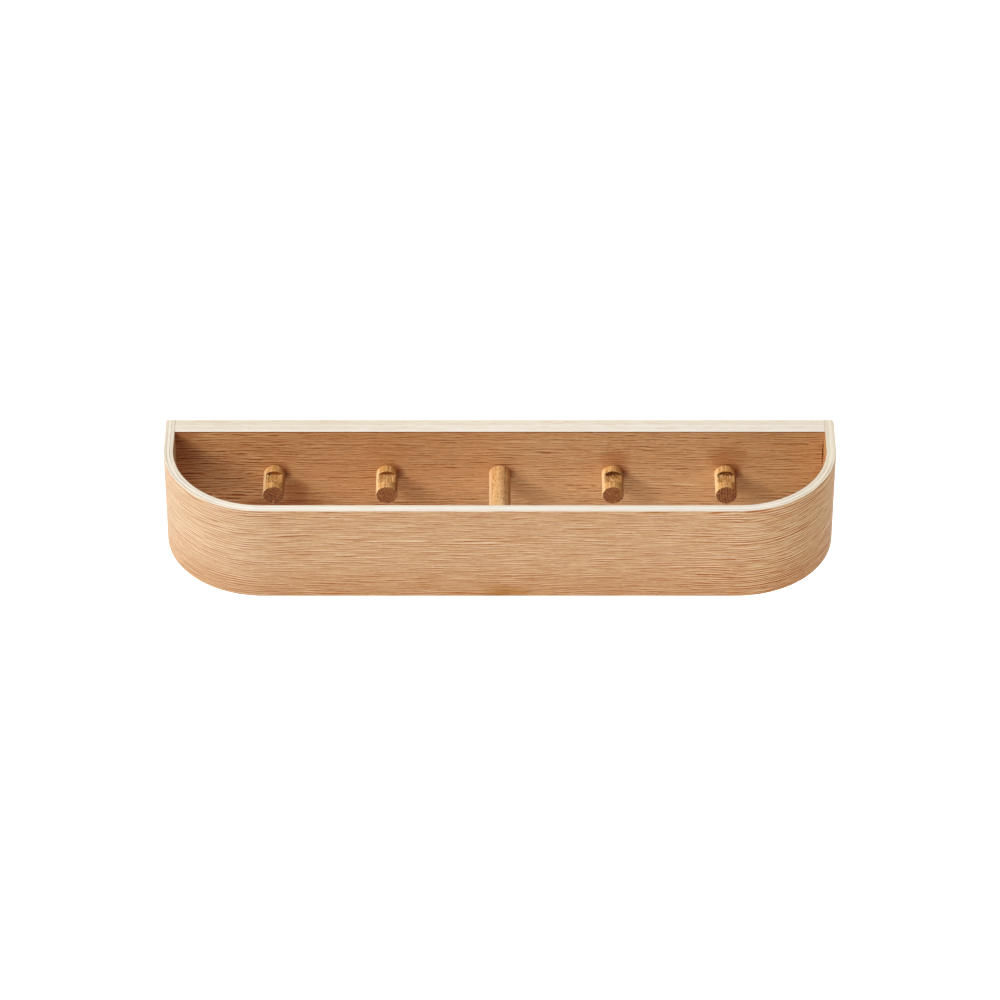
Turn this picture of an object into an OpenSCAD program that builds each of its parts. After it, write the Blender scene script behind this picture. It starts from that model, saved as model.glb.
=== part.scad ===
// Wall coat rack: a shallow oak tray, open above and below, with coat pegs behind its front.
// A band of bent plywood is glued round the ends of a straight plywood backboard, four pegs
// with a saddle for a coat loop stand on the board, and a centre dowel ties board and band.
// The origin is the middle of the face that lies on the wall. +X points to the right as seen
// from the room, +Y into the wall and +Z up. Lengths are in millimetres.

/* [Rack] */
// Width along the wall
rack_w = 620; // [500:5:800]
// Depth from the wall to the front of the band
rack_d = 136; // [112:1:170]
// Height of the band and of the backboard
rack_h = 100; // [80:1:130]
// Rounding sanded on the long edges of band and backboard
edge_r = 0.6; // [0.3:0.1:1.2]

/* [Bent band] */
// Thickness of the bent plywood
band_t = 9; // [7:0.5:12]
// Outer radius of the two front bends
bend_r = 93; // [40:1:112]
// Rounding of the outer corners where the band meets the wall
heel_r = 1.5; // [1:0.1:3]
// Depth of the centre dowel's socket in the band
band_socket = 4; // [3:0.5:5]

/* [Backboard] */
// Thickness of the backboard
board_t = 18; // [15:0.5:22]
// Depth of the peg sockets in the backboard
board_socket = 8; // [6:0.5:10]

/* [Pegs] */
// Diameter of the pegs and of the centre dowel
peg_d = 20; // [16:0.5:26]
// Distance from one peg to the next
peg_pitch = 105; // [80:1:125]
// How far a coat peg stands out from the backboard
peg_reach = 32; // [27:0.5:50]
// Rounding of a coat peg's free end
tip_r = 0.8; // [0.4:0.1:2]

/* [Saddle for a coat loop] */
// Full-round collar between the backboard and the saddle
collar_len = 8.5; // [6:0.5:12]
// Length of the saddle along the top of the peg
saddle_len = 16; // [12:0.5:19]
// Depth of the saddle below the top of the peg
saddle_depth = 4.2; // [2.5:0.1:5.5]
// Slope of the ramp at the front of the saddle, in degrees
ramp_angle = 45; // [35:1:60]

/* [Peg screws] */
// Diameter of a screw's shank
screw_d = 3.5; // [3:0.1:4.5]
// Diameter of its countersunk head
screw_head_d = 7; // [6:0.1:9]
// Length of the screw
screw_len = 30; // [24:1:36]
// Depth of the head below the wall face
screw_sink = 0.5; // [0.3:0.1:1.5]
// Length of the screw's point
screw_point = 4; // [2:0.5:6]

/* [Joint dowels] */
// Diameter of the dowels between band and backboard
dowel_d = 6; // [5:0.5:8]
// Length of a dowel
dowel_len = 30; // [20:1:40]
// Depth of a dowel in the band
dowel_in_band = 5; // [3:0.5:6]
// Distance of a dowel from the top or bottom edge
dowel_edge = 20; // [15:1:24]
// Chamfer on a dowel's ends
dowel_chamfer = 0.8; // [0.4:0.1:1.2]

/* [Keyholes] */
// Diameter of the hole that takes the wall screw's head
keyhole_d = 10; // [8:0.5:12]
// Width of the neck that the screw's shank slides up
neck_w = 5; // [4:0.5:6]
// Height of the head's hole above the middle of the board
keyhole_z = 13; // [10:1:20]
// Rise from the head's hole to the seat of the screw
keyhole_rise = 12; // [10:0.5:15]
// Depth of the keyhole
keyhole_depth = 10; // [8:0.5:12]
// Thickness of the lip that the head hangs behind
lip_t = 4; // [3:0.5:5]

/* [Fits] */
// Glue gap round a peg or a dowel
glue_gap = 0.1; // [0.05:0.05:0.3]
// Gap round a screw's shank in the backboard
screw_gap = 0.25; // [0.1:0.05:0.5]
// Free depth past the end of a dowel or of a screw's point
end_gap = 1; // [0.5:0.1:2]

/* [Hidden] */
$fn = 96;

// Columns of the five pegs, counted from the middle one
FAR_LEFT = -2;
LEFT = -1;
CENTRE = 0;
RIGHT = 1;
FAR_RIGHT = 2;
COLUMNS = [FAR_LEFT, LEFT, CENTRE, RIGHT, FAR_RIGHT];

// How far a cut runs past the face that it opens
over = 1;
peg_r = peg_d / 2;
// The backboard fits between the two ends of the band
board_w = rack_w - 2 * band_t;
// Straight length of the band's sides and of its front
side_len = rack_d - bend_r;
front_len = rack_w - 2 * bend_r;
// The root end of every peg stands on the bottom of its socket
root_y = -(board_t - board_socket);
centre_dowel_len = rack_d - band_t + band_socket + root_y;
coat_peg_len = board_socket + peg_reach;
// The screw's head sits in a 90 degree countersink
screw_rim = 0.3;
head_cone = (screw_head_d - screw_d) / 2;
cross_w = 0.9;
cross_span = 4.2;
cross_depth = 1.8;
dowel_z = rack_h / 2 - dowel_edge;
dowel_in_board = dowel_len - dowel_in_band;
// The keyholes lie midway between each outer peg and its neighbour
keyhole_x = peg_pitch * 3 / 2;

// Cylinder along +Y that starts at y
module rod_y(y, length, r) {
    translate([0, y, 0])
        rotate([-90, 0, 0])
            cylinder(h = length, r = r);
}

// Section of a sanded board: x across its thickness, y up its height
module eased_section(t, h) {
    translate([edge_r, -h / 2])
        square([t - 2 * edge_r, h]);
    translate([0, edge_r - h / 2])
        square([t, h - 2 * edge_r]);
    for (x = [edge_r, t - edge_r], y = [edge_r - h / 2, h / 2 - edge_r])
        translate([x, y])
            circle(r = edge_r);
}

// Straight length of board along +X, with its front face on the XZ plane
module straight_x(length, t) {
    rotate([90, 0, 90])
        linear_extrude(length)
            eased_section(t, rack_h);
}

// One side of the band, from the wall to the bend, mirrored for the left one
module band_side(side) {
    translate([side * (rack_w - band_t) / 2 - band_t / 2, 0, 0])
        rotate([90, 0, 0])
            linear_extrude(side_len)
                eased_section(band_t, rack_h);
}

// One bend of the band, a quarter turn round the bend's own centre
module band_bend(side) {
    translate([side * front_len / 2, -side_len, 0])
        rotate([0, 0, side > 0 ? -90 : 180])
            rotate_extrude(angle = 90)
                translate([bend_r - band_t, 0])
                    eased_section(band_t, rack_h);
}

// What sanding takes off the band's outer corner at the wall
module heel_cut(side) {
    translate([side * (rack_w / 2 - heel_r), -heel_r, 0])
        linear_extrude(rack_h + 2 * over, center = true)
            difference() {
                translate([side > 0 ? 0 : -heel_r - over, 0])
                    square(heel_r + over);
                circle(r = heel_r);
            }
}

// Hole for a joint dowel, from the joint's face along +X or -X
module dowel_hole(side, way, depth, z) {
    translate([side * board_w / 2, -board_t / 2, z])
        rotate([0, 90 * side * way, 0])
            cylinder(h = depth, r = dowel_d / 2 + glue_gap);
}

module front_band() {
    color("#dba878")
        difference() {
            union() {
                translate([-front_len / 2, -rack_d, 0])
                    straight_x(front_len, band_t);
                for (side = [-1, 1]) {
                    band_side(side);
                    band_bend(side);
                }
            }
            for (side = [-1, 1]) {
                heel_cut(side);
                for (z = [-dowel_z, dowel_z])
                    dowel_hole(side, 1, dowel_in_band, z);
            }
            rod_y(band_t - rack_d - band_socket, band_socket + over, peg_r + glue_gap);
        }
}

// Socket of a peg and the countersunk hole of its screw
module peg_seat() {
    rod_y(-board_t - over, board_socket + over, peg_r + glue_gap);
    rod_y(root_y - over, over - root_y, screw_d / 2 + screw_gap);
    rotate([90, 0, 0])
        translate([0, 0, -over])
            cylinder(
                h = over + screw_sink + screw_rim + head_cone,
                r1 = screw_head_d / 2 + screw_rim + screw_sink + over,
                r2 = screw_d / 2
            );
}

// Upright slot with round ends, cut from depth y0 to y1 behind the wall face
module upright_slot(width, y0, y1) {
    translate([0, -y0, keyhole_z])
        rotate([90, 0, 0])
            linear_extrude(y1 - y0) {
                circle(d = width);
                translate([-width / 2, 0])
                    square([width, keyhole_rise]);
                translate([0, keyhole_rise])
                    circle(d = width);
            }
}

// Keyhole: a round entry, a neck through the lip and a wider channel behind it
module keyhole_cut() {
    translate([0, 0, keyhole_z])
        rod_y(-keyhole_depth, keyhole_depth + over, keyhole_d / 2);
    upright_slot(neck_w, -over, lip_t);
    upright_slot(keyhole_d, lip_t, keyhole_depth);
}

module backboard() {
    color("#c98a5c")
        difference() {
            translate([-board_w / 2, -board_t, 0])
                straight_x(board_w, board_t);
            for (column = COLUMNS)
                translate([column * peg_pitch, 0, 0])
                    peg_seat();
            for (side = [-1, 1]) {
                translate([side * keyhole_x, 0, 0])
                    keyhole_cut();
                for (z = [-dowel_z, dowel_z])
                    dowel_hole(side, -1, dowel_in_board + end_gap, z);
            }
        }
}

// Turned rod from its root on the socket's bottom, out towards the room
module turned_rod(length, end_r) {
    translate([0, root_y, 0])
        rotate([90, 0, 0])
            rotate_extrude() {
                square([peg_r - end_r, length]);
                square([peg_r, length - end_r]);
                translate([peg_r - end_r, length - end_r])
                    circle(r = end_r);
            }
}

// Pilot hole in a root end, as deep as the screw reaches
module pilot_hole() {
    depth = screw_sink + screw_len + end_gap;
    rod_y(-depth, depth + root_y + over, screw_d / 2);
}

// Notch across the top: upright wall at the collar, flat floor and a ramp to the tip
module saddle_cut() {
    wall_y = -board_t - collar_len;
    floor_z = peg_r - saddle_depth;
    ramp_foot = wall_y - saddle_len + saddle_depth / tan(ramp_angle);
    rise = saddle_depth + over;
    rotate([90, 0, 90])
        linear_extrude(peg_d + 2 * over, center = true)
            polygon([
                [wall_y, floor_z],
                [wall_y, floor_z + rise],
                [ramp_foot - rise / tan(ramp_angle), floor_z + rise],
                [ramp_foot, floor_z]
            ]);
}

module coat_peg(column) {
    color("#d9a463")
        translate([column * peg_pitch, 0, 0])
            difference() {
                turned_rod(coat_peg_len, tip_r);
                saddle_cut();
                pilot_hole();
            }
}

module centre_dowel() {
    color("#dfb27c")
        difference() {
            turned_rod(centre_dowel_len, tip_r);
            pilot_hole();
        }
}

// Countersunk wood screw, driven from the wall face into the root of a peg
module peg_screw(column) {
    shank_r = screw_d / 2;
    head_r = screw_head_d / 2;
    color("#b9bcc0")
        translate([column * peg_pitch, -screw_sink, 0])
            rotate([90, 0, 0])
                difference() {
                    rotate_extrude()
                        polygon([
                            [0, 0],
                            [head_r, 0],
                            [head_r, screw_rim],
                            [shank_r, screw_rim + head_cone],
                            [shank_r, screw_len - screw_point],
                            [0, screw_len]
                        ]);
                    for (turn = [0, 90])
                        rotate([0, 0, turn])
                            translate([-cross_span / 2, -cross_w / 2, -over])
                                cube([cross_span, cross_w, cross_depth + over]);
                }
}

// Joint dowel, seated on the bottom of its hole in the band
module joint_dowel(side, level) {
    r = dowel_d / 2;
    c = dowel_chamfer;
    color("#e8d3ae")
        translate([side * (board_w / 2 + dowel_in_band), -board_t / 2, level * dowel_z])
            rotate([0, -90 * side, 0])
                rotate_extrude()
                    polygon([
                        [0, 0],
                        [r - c, 0],
                        [r, c],
                        [r, dowel_len - c],
                        [r - c, dowel_len],
                        [0, dowel_len]
                    ]);
}

backboard();
front_band();
coat_peg(FAR_LEFT);  // peg_far_left
coat_peg(LEFT);  // peg_left
centre_dowel();
coat_peg(RIGHT);  // peg_right
coat_peg(FAR_RIGHT);  // peg_far_right
peg_screw(FAR_LEFT);  // screw_far_left
peg_screw(LEFT);  // screw_left
peg_screw(CENTRE);  // screw_centre
peg_screw(RIGHT);  // screw_right
peg_screw(FAR_RIGHT);  // screw_far_right
joint_dowel(-1, 1);  // joint_dowel_left_upper
joint_dowel(-1, -1);  // joint_dowel_left_lower
joint_dowel(1, 1);  // joint_dowel_right_upper
joint_dowel(1, -1);  // joint_dowel_right_lower
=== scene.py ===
"""Wall coat rack of bent oak plywood: every visible piece and finish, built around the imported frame.

Meshes are in metres on the frame's own axes: +X right as seen from the room, +Y into the wall, +Z up,
origin in the middle of the face on the wall. Names that end in _mm are millimetres. Each mesh carries a
point attribute "grain" in millimetres: how far a point lies along the grain, below the face and across
the grain. The figure of the wood is worked out from it, so it follows each bend and each turned rod.
"""
import logging
import math
from dataclasses import dataclass, field, fields
from enum import Enum
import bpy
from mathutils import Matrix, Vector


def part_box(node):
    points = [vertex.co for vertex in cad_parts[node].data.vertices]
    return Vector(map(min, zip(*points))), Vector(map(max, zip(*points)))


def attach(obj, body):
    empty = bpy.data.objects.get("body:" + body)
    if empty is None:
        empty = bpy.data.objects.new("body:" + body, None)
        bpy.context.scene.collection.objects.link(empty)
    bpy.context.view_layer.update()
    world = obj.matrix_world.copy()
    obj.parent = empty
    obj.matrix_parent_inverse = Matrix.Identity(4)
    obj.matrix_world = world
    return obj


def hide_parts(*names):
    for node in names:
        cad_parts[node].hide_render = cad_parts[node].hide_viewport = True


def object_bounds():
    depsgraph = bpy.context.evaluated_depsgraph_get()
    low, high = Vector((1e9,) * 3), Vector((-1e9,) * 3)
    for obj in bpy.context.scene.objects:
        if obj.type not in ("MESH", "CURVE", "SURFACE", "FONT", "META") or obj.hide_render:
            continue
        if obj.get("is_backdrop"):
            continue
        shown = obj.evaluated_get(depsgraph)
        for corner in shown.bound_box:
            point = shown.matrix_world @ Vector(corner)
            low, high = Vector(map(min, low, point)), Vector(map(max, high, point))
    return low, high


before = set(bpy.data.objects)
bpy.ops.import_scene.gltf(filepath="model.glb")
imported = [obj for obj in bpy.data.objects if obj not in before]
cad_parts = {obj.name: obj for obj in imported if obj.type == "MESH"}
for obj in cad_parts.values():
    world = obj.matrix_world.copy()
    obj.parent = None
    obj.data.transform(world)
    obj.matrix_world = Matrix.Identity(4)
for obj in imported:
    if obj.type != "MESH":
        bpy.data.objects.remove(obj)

from types import SimpleNamespace
from typing import Any, Sequence

import bpy
import numpy as np
from mathutils import Matrix, Vector

LOG = logging.getLogger("coat_rack")
MM = 0.001
QUARTER = math.pi / 2
OVER_MM = 1.0
GRAIN = "grain"

Colour = tuple[int, int, int]
Pair = tuple[float, float]


class Side(Enum):
    """End of the rack, by the sign of its X."""

    LEFT = -1
    RIGHT = 1


class Column(Enum):
    """Place of a peg in the row."""

    FAR_LEFT = "far_left"
    LEFT = "left"
    CENTRE = "centre"
    RIGHT = "right"
    FAR_RIGHT = "far_right"


class Surface(Enum):
    """Material index of a plywood piece's faces."""

    FACE = 0
    EDGE = 1


class Blend(Enum):
    """How one colour meets the colour under it."""

    TINT = "MULTIPLY"
    VEIL = "MIX"


class Axis(Enum):
    """Which of the three grain coordinates a tone changes along."""

    ALONG = 0
    DEPTH = 1
    ACROSS = 2


def linear(colour: Colour) -> tuple[float, float, float, float]:
    """Turn a written colour into the renderer's own scale.

    Args:
        colour: Red, green and blue from 0 to 255, as seen on a screen.

    Returns:
        Linear red, green, blue and a full alpha.
    """
    toe, slope, lift, power = 0.04045, 12.92, 0.055, 2.4
    shares = [c / 255 for c in colour]
    return (*(c / slope if c <= toe else ((c + lift) / (1 + lift)) ** power for c in shares), 1.0)


class Signal:
    """Colour or number that a shader tree works out, with plain arithmetic for numbers."""

    def __init__(self, tree: "Tree", socket: bpy.types.NodeSocket) -> None:
        """Keep the tree and the socket that gives the value."""
        self.tree = tree
        self.socket = socket

    def __add__(self, other: Any) -> "Signal":
        """Add a number or a signal."""
        return self.tree.math("ADD", self, other)

    def __sub__(self, other: Any) -> "Signal":
        """Take away a number or a signal."""
        return self.tree.math("SUBTRACT", self, other)

    def __rsub__(self, other: float) -> "Signal":
        """Take this away from a number."""
        return self.tree.math("SUBTRACT", other, self)

    def __mul__(self, other: Any) -> "Signal":
        """Multiply by a number or a signal."""
        return self.tree.math("MULTIPLY", self, other)

    def __truediv__(self, other: Any) -> "Signal":
        """Divide by a number or a signal."""
        return self.tree.math("DIVIDE", self, other)

    def held(self, factor: Any = 1.0) -> "Signal":
        """Multiply and hold the result between 0 and 1."""
        return self.tree.math("MULTIPLY", self, factor, clamp=True)

    def swing(self, amount: Any) -> "Signal":
        """Spread a value around 0.5 into one around 0 of the given amount."""
        return (self - 0.5) * amount

    def rise(self, low: Any, high: Any) -> "Signal":
        """Fade smoothly from 0 at one value to 1 at another.

        Args:
            low: Value where the fade starts.
            high: Value where it ends, above or below the first.

        Returns:
            The faded value.
        """
        made = self.tree.node("MapRange", interpolation_type="SMOOTHSTEP")
        for name, value in (("Value", self), ("From Min", low), ("From Max", high)):
            self.tree.feed(made.inputs[name], value)
        return Signal(self.tree, made.outputs["Result"])

    def hump(self, up: Pair, down: Pair) -> "Signal":
        """Rise over the first range of values and fall again over the second."""
        return self.rise(*up) * self.rise(*down)


Grain = tuple[Signal, Signal, Signal]


class Tree:
    """Adds nodes to one shader tree and joins them."""

    def __init__(self, tree: bpy.types.NodeTree) -> None:
        """Take the tree to work in."""
        self.tree = tree

    @classmethod
    def of(cls, owner: bpy.types.Material | bpy.types.World) -> "Tree":
        """Clear a tree and take it over.

        Args:
            owner: Material or world that the tree belongs to.

        Returns:
            The empty tree.
        """
        owner.use_nodes = True
        owner.node_tree.nodes.clear()
        return cls(owner.node_tree)

    def node(self, kind: str, **settings: Any) -> bpy.types.Node:
        """Add a node.

        Args:
            kind: Blender's type name without its ShaderNode prefix.
            settings: Attributes to set on it.

        Returns:
            The new node.
        """
        made = self.tree.nodes.new("ShaderNode" + kind)
        for name, value in settings.items():
            setattr(made, name, value)
        return made

    def feed(self, socket: bpy.types.NodeSocket, value: Any) -> None:
        """Join a socket to what feeds it, or set it.

        Args:
            socket: Input to feed.
            value: Signal, socket, number or colour.
        """
        if isinstance(value, Signal):
            value = value.socket
        if isinstance(value, bpy.types.NodeSocket):
            self.tree.links.new(value, socket)
        else:
            socket.default_value = value

    def math(self, operation: str, *values: Any, clamp: bool = False) -> Signal:
        """Work out one number.

        Args:
            operation: Name of the operation.
            values: Signals or numbers that go in.
            clamp: Whether the result is held between 0 and 1.

        Returns:
            The result.
        """
        made = self.node("Math", operation=operation, use_clamp=clamp)
        for socket, value in zip(made.inputs, values):
            self.feed(socket, value)
        return Signal(self, made.outputs[0])

    def split(self, vector: Signal | bpy.types.NodeSocket) -> tuple[Signal, ...]:
        """Take a vector apart.

        Args:
            vector: What gives the vector.

        Returns:
            Its three numbers.
        """
        made = self.node("SeparateXYZ")
        self.feed(made.inputs[0], vector)
        return tuple(Signal(self, socket) for socket in made.outputs)

    def grain_vector(self) -> bpy.types.NodeSocket:
        """Give the mesh's own grain coordinates as one vector."""
        return self.node("Attribute", attribute_name=GRAIN).outputs["Vector"]

    def noise(self, spot: Sequence[Any], detail: float = 2.0, roughness: float = 0.5) -> Signal:
        """Sample noise with features about one unit wide.

        Args:
            spot: Three numbers or signals that say where.
            detail: How many finer layers are added.
            roughness: How strong the finer layers are.

        Returns:
            A value around 0.5.
        """
        place = self.node("CombineXYZ")
        for socket, value in zip(place.inputs, spot):
            self.feed(socket, value)
        made = self.node("TexNoise", noise_dimensions="3D")
        settings = {"Vector": place.outputs[0], "Scale": 1.0, "Detail": detail, "Roughness": roughness}
        for name, value in settings.items():
            self.feed(made.inputs[name], value)
        return Signal(self, made.outputs["Fac"])

    def mix(self, share: Any, first: Any, second: Any, blend: Blend = Blend.VEIL) -> Signal:
        """Blend two colours.

        Args:
            share: How much of the second colour shows.
            first: Colour at a share of 0.
            second: Colour at a share of 1.
            blend: How the second colour is laid on.

        Returns:
            The blended colour.
        """
        made = self.node("Mix", data_type="RGBA", blend_type=blend.value)
        for name, value in (("Factor_Float", share), ("A_Color", first), ("B_Color", second)):
            self.feed(next(s for s in made.inputs if s.identifier == name), value)
        return Signal(self, next(s for s in made.outputs if s.identifier == "Result_Color"))

    def mix_shaders(self, share: Any, first: bpy.types.Node, second: bpy.types.Node) -> bpy.types.Node:
        """Show one shader or another.

        Args:
            share: How much of the second shader shows.
            first: Shader at a share of 0.
            second: Shader at a share of 1.

        Returns:
            The node that shows them.
        """
        made = self.node("MixShader")
        for socket, value in zip(made.inputs, (share, first.outputs[0], second.outputs[0])):
            self.feed(socket, value)
        return made

    def raise_relief(self, shader: bpy.types.Node, height: Any, relief_mm: float) -> None:
        """Let a height that changes over the surface lean the shader's light.

        Args:
            shader: Shader whose light leans.
            height: The height, about 0 to 1.
            relief_mm: What a height of 1 stands for.
        """
        bump = self.node("Bump")
        for name, value in (("Strength", 1.0), ("Distance", relief_mm * MM), ("Height", height)):
            self.feed(bump.inputs[name], value)
        self.feed(shader.inputs["Normal"], bump.outputs["Normal"])


class Effect:
    """Shader node group with named inputs and outputs, built once for one kind of finish."""

    title = "effect"
    not_inputs = ("name", "relief_mm", "gloss", "marks")
    results = {"Color": "NodeSocketColor", "Roughness": "NodeSocketFloat", "Height": "NodeSocketFloat"}

    def __init__(self, finish: type) -> None:
        """Open the group, give it its sockets and join what the effect works out.

        Args:
            finish: Kind of finish, whose own fields become the inputs.
        """
        self.group = bpy.data.node_groups.new(self.title, "ShaderNodeTree")
        self.tree = Tree(self.group)
        own = [entry for entry in fields(finish) if entry.name not in self.not_inputs]
        self.inputs = {entry.name: entry.type for entry in own}
        sockets = [("Grain", "INPUT", "NodeSocketVector")]
        for name, kind in self.inputs.items():
            sockets.append((self.label(name), "INPUT", f"NodeSocket{'Color' if kind == Colour else 'Float'}"))
        sockets += [(name, "OUTPUT", kind) for name, kind in self.results.items()]
        for name, way, kind in sockets:
            self.group.interface.new_socket(name, in_out=way, socket_type=kind)
        source = self.group.nodes.new("NodeGroupInput").outputs
        target = self.group.nodes.new("NodeGroupOutput").inputs
        self.grain = self.tree.split(source["Grain"])
        signals = {name: Signal(self.tree, source[self.label(name)]) for name in self.inputs}
        self.given = SimpleNamespace(**{name.removesuffix("_mm"): value for name, value in signals.items()})
        for name, value in zip(self.results, self.work_out()):
            self.tree.feed(target[name], value)

    @staticmethod
    def label(name: str) -> str:
        """Name an input after a field of the finish."""
        return name.removesuffix("_mm").replace("_", " ").title()

    def work_out(self) -> tuple[Signal, Signal, Signal]:
        """Give the effect's colour, roughness and height."""
        raise NotImplementedError

    def place(self, tree: Tree, finish: "WoodFinish") -> bpy.types.Node:
        """Put the group into a material.

        Args:
            tree: The material's own tree.
            finish: Its fields set the inputs.

        Returns:
            The group's node.
        """
        made = tree.node("Group", node_tree=self.group)
        tree.feed(made.inputs["Grain"], tree.grain_vector())
        for name, kind in self.inputs.items():
            value = getattr(finish, name)
            tree.feed(made.inputs[self.label(name)], linear(value) if kind == Colour else value)
        return made


@dataclass(frozen=True, kw_only=True)
class Streak:
    """Noise drawn out along the grain, in millimetres or in shares of a finish's own line."""

    length: float
    width: float
    detail: float
    start: float
    of_line: bool = False
    between: Pair = (0.36, 0.64)
    strength: float = 1.0


class VeneerFigure(Effect):
    """Sliced oak veneer: rippled dark and pale lines, short pores, ochre zones and ray flecks."""

    title = "oak veneer figure"
    change_below = 0.41
    slow_mm: Pair = (150.0, 38.0)
    quick_mm: Pair = (26.0, 7.0)
    uneven_mm: Pair = (160.0, 9.0)
    uneven_years = 2.4
    row_step = 5.37
    early_wood: tuple[Pair, Pair] = ((0.0, 0.14), (0.55, 0.25))
    late_wood: tuple[Pair, Pair] = ((0.45, 0.65), (1.0, 0.8))
    dash_share = 0.55
    dash_between: Pair = (0.36, 0.64)
    plain_strength = 0.9
    tone = Streak(length=190.0, width=13.0, detail=2.0, start=0.0, strength=0.22)
    ochre = Streak(length=46.0, width=7.0, detail=2.0, start=23.0, between=(0.52, 0.68), strength=0.2)
    pore = Streak(length=7.0, width=0.4, detail=1.0, start=29.0, between=(0.6, 0.72))
    fleck = Streak(length=5.0, width=1.1, detail=0.0, start=31.0, between=(0.7, 0.8), strength=0.35)
    grit = Streak(length=3.6, width=0.75, detail=2.0, start=37.0)
    bands = Streak(
        length=2.0, width=4.5, detail=2.0, start=3.1, of_line=True, between=(0.4, 0.62), strength=0.6
    )
    main = Streak(length=1.0, width=1.0, detail=0.0, start=7.3, of_line=True, strength=0.6)
    fine = Streak(length=0.45, width=0.8, detail=0.0, start=11.9, of_line=True, strength=0.6)
    fibre = Streak(length=0.16, width=0.4, detail=1.0, start=17.7, of_line=True, strength=0.4)
    fibre_height, pore_height, line_height = 0.35, 0.65, 0.12
    rough, rough_swing, rough_pore = 0.5, 0.2, 0.2

    def streak(self, kind: Streak) -> Signal:
        """Sample one kind of streak.

        Args:
            kind: Its size, detail and place in the noise.

        Returns:
            A value around 0.5.
        """
        length, width = kind.length, kind.width
        if kind.of_line:
            length, width = self.given.line_length * length, self.given.line_width * width
        return self.tree.noise((self.along / length, self.layer + kind.start, self.line / width), kind.detail)

    def years(self) -> Signal:
        """Draw each year's dark line beside a pale one, broken into dashes of their own.

        Returns:
            How light or dark the year lines are.
        """
        long_mm, high_mm = self.uneven_mm
        uneven = self.tree.noise((self.along / long_mm, self.layer, self.line / high_mm))
        count = self.line / self.given.year + uneven.swing(self.uneven_years)
        year = self.tree.math("FRACT", count)
        row = self.tree.math("FLOOR", count) * self.row_step
        dash_length = self.given.line_length * self.dash_share
        dash = self.tree.noise((self.along / dash_length, row, self.layer), 1.0)
        lines = year.hump(*self.late_wood) - year.hump(*self.early_wood)
        return lines * (dash.rise(*self.dash_between) * self.given.years)

    def boldness(self) -> Signal:
        """Tell how much stronger the lines get towards both ends.

        Returns:
            The added strength, 0 in the middle.
        """
        given = self.given
        to_left = (self.along * -1.0).rise(given.bold_from, given.bold_to) * given.bold_left
        return to_left + self.along.rise(given.bold_from, given.bold_to) * given.bold_right

    def work_out(self) -> tuple[Signal, Signal, Signal]:
        """Lay broad tone, lines, fibres, pores and flecks over each other.

        Returns:
            The veneer's colour, roughness and height.
        """
        t, given = self.tree, self.given
        self.along, depth, across = self.grain
        self.layer = depth * self.change_below + given.shift
        slow, quick = (
            t.noise((self.along / long_mm, self.layer, across / high_mm), 1.0)
            for long_mm, high_mm in (self.slow_mm, self.quick_mm)
        )
        self.line = across + (slow.swing(given.drift) + quick.swing(given.ripple))
        bands, main, fibre = self.streak(self.bands), self.streak(self.main), self.streak(self.fibre)
        kinds = ((main, self.main), (self.streak(self.fine), self.fine), (fibre, self.fibre))
        first, second, third = (value.rise(*kind.between).swing(kind.strength) for value, kind in kinds)
        busy = self.boldness() + self.plain_strength + bands.swing(self.bands.strength)
        lines = ((first + (second + third)) * given.lines + self.years()) * busy
        broad = self.streak(self.tone).swing(self.tone.strength)
        light = lines + (broad + self.streak(self.grit).swing(given.grit))

        ochre = self.streak(self.ochre).rise(*self.ochre.between) * self.ochre.strength
        pore = self.streak(self.pore).rise(*self.pore.between) * bands.rise(*self.bands.between)
        fleck = self.streak(self.fleck).rise(*self.fleck.between) * self.fleck.strength
        colour = t.mix(light.held(), given.body, given.pale)
        colour = t.mix(light.held(-1.0), colour, given.dark)
        colour = t.mix(ochre, colour, given.ochre, Blend.TINT)
        colour = t.mix(pore.held(given.pores), colour, given.dark, Blend.TINT)
        colour = t.mix(fleck, colour, given.pale)
        height = fibre * self.fibre_height - pore * self.pore_height + lines * self.line_height
        return colour, self.rough - main.swing(self.rough_swing) + pore * self.rough_pore, height


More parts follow.
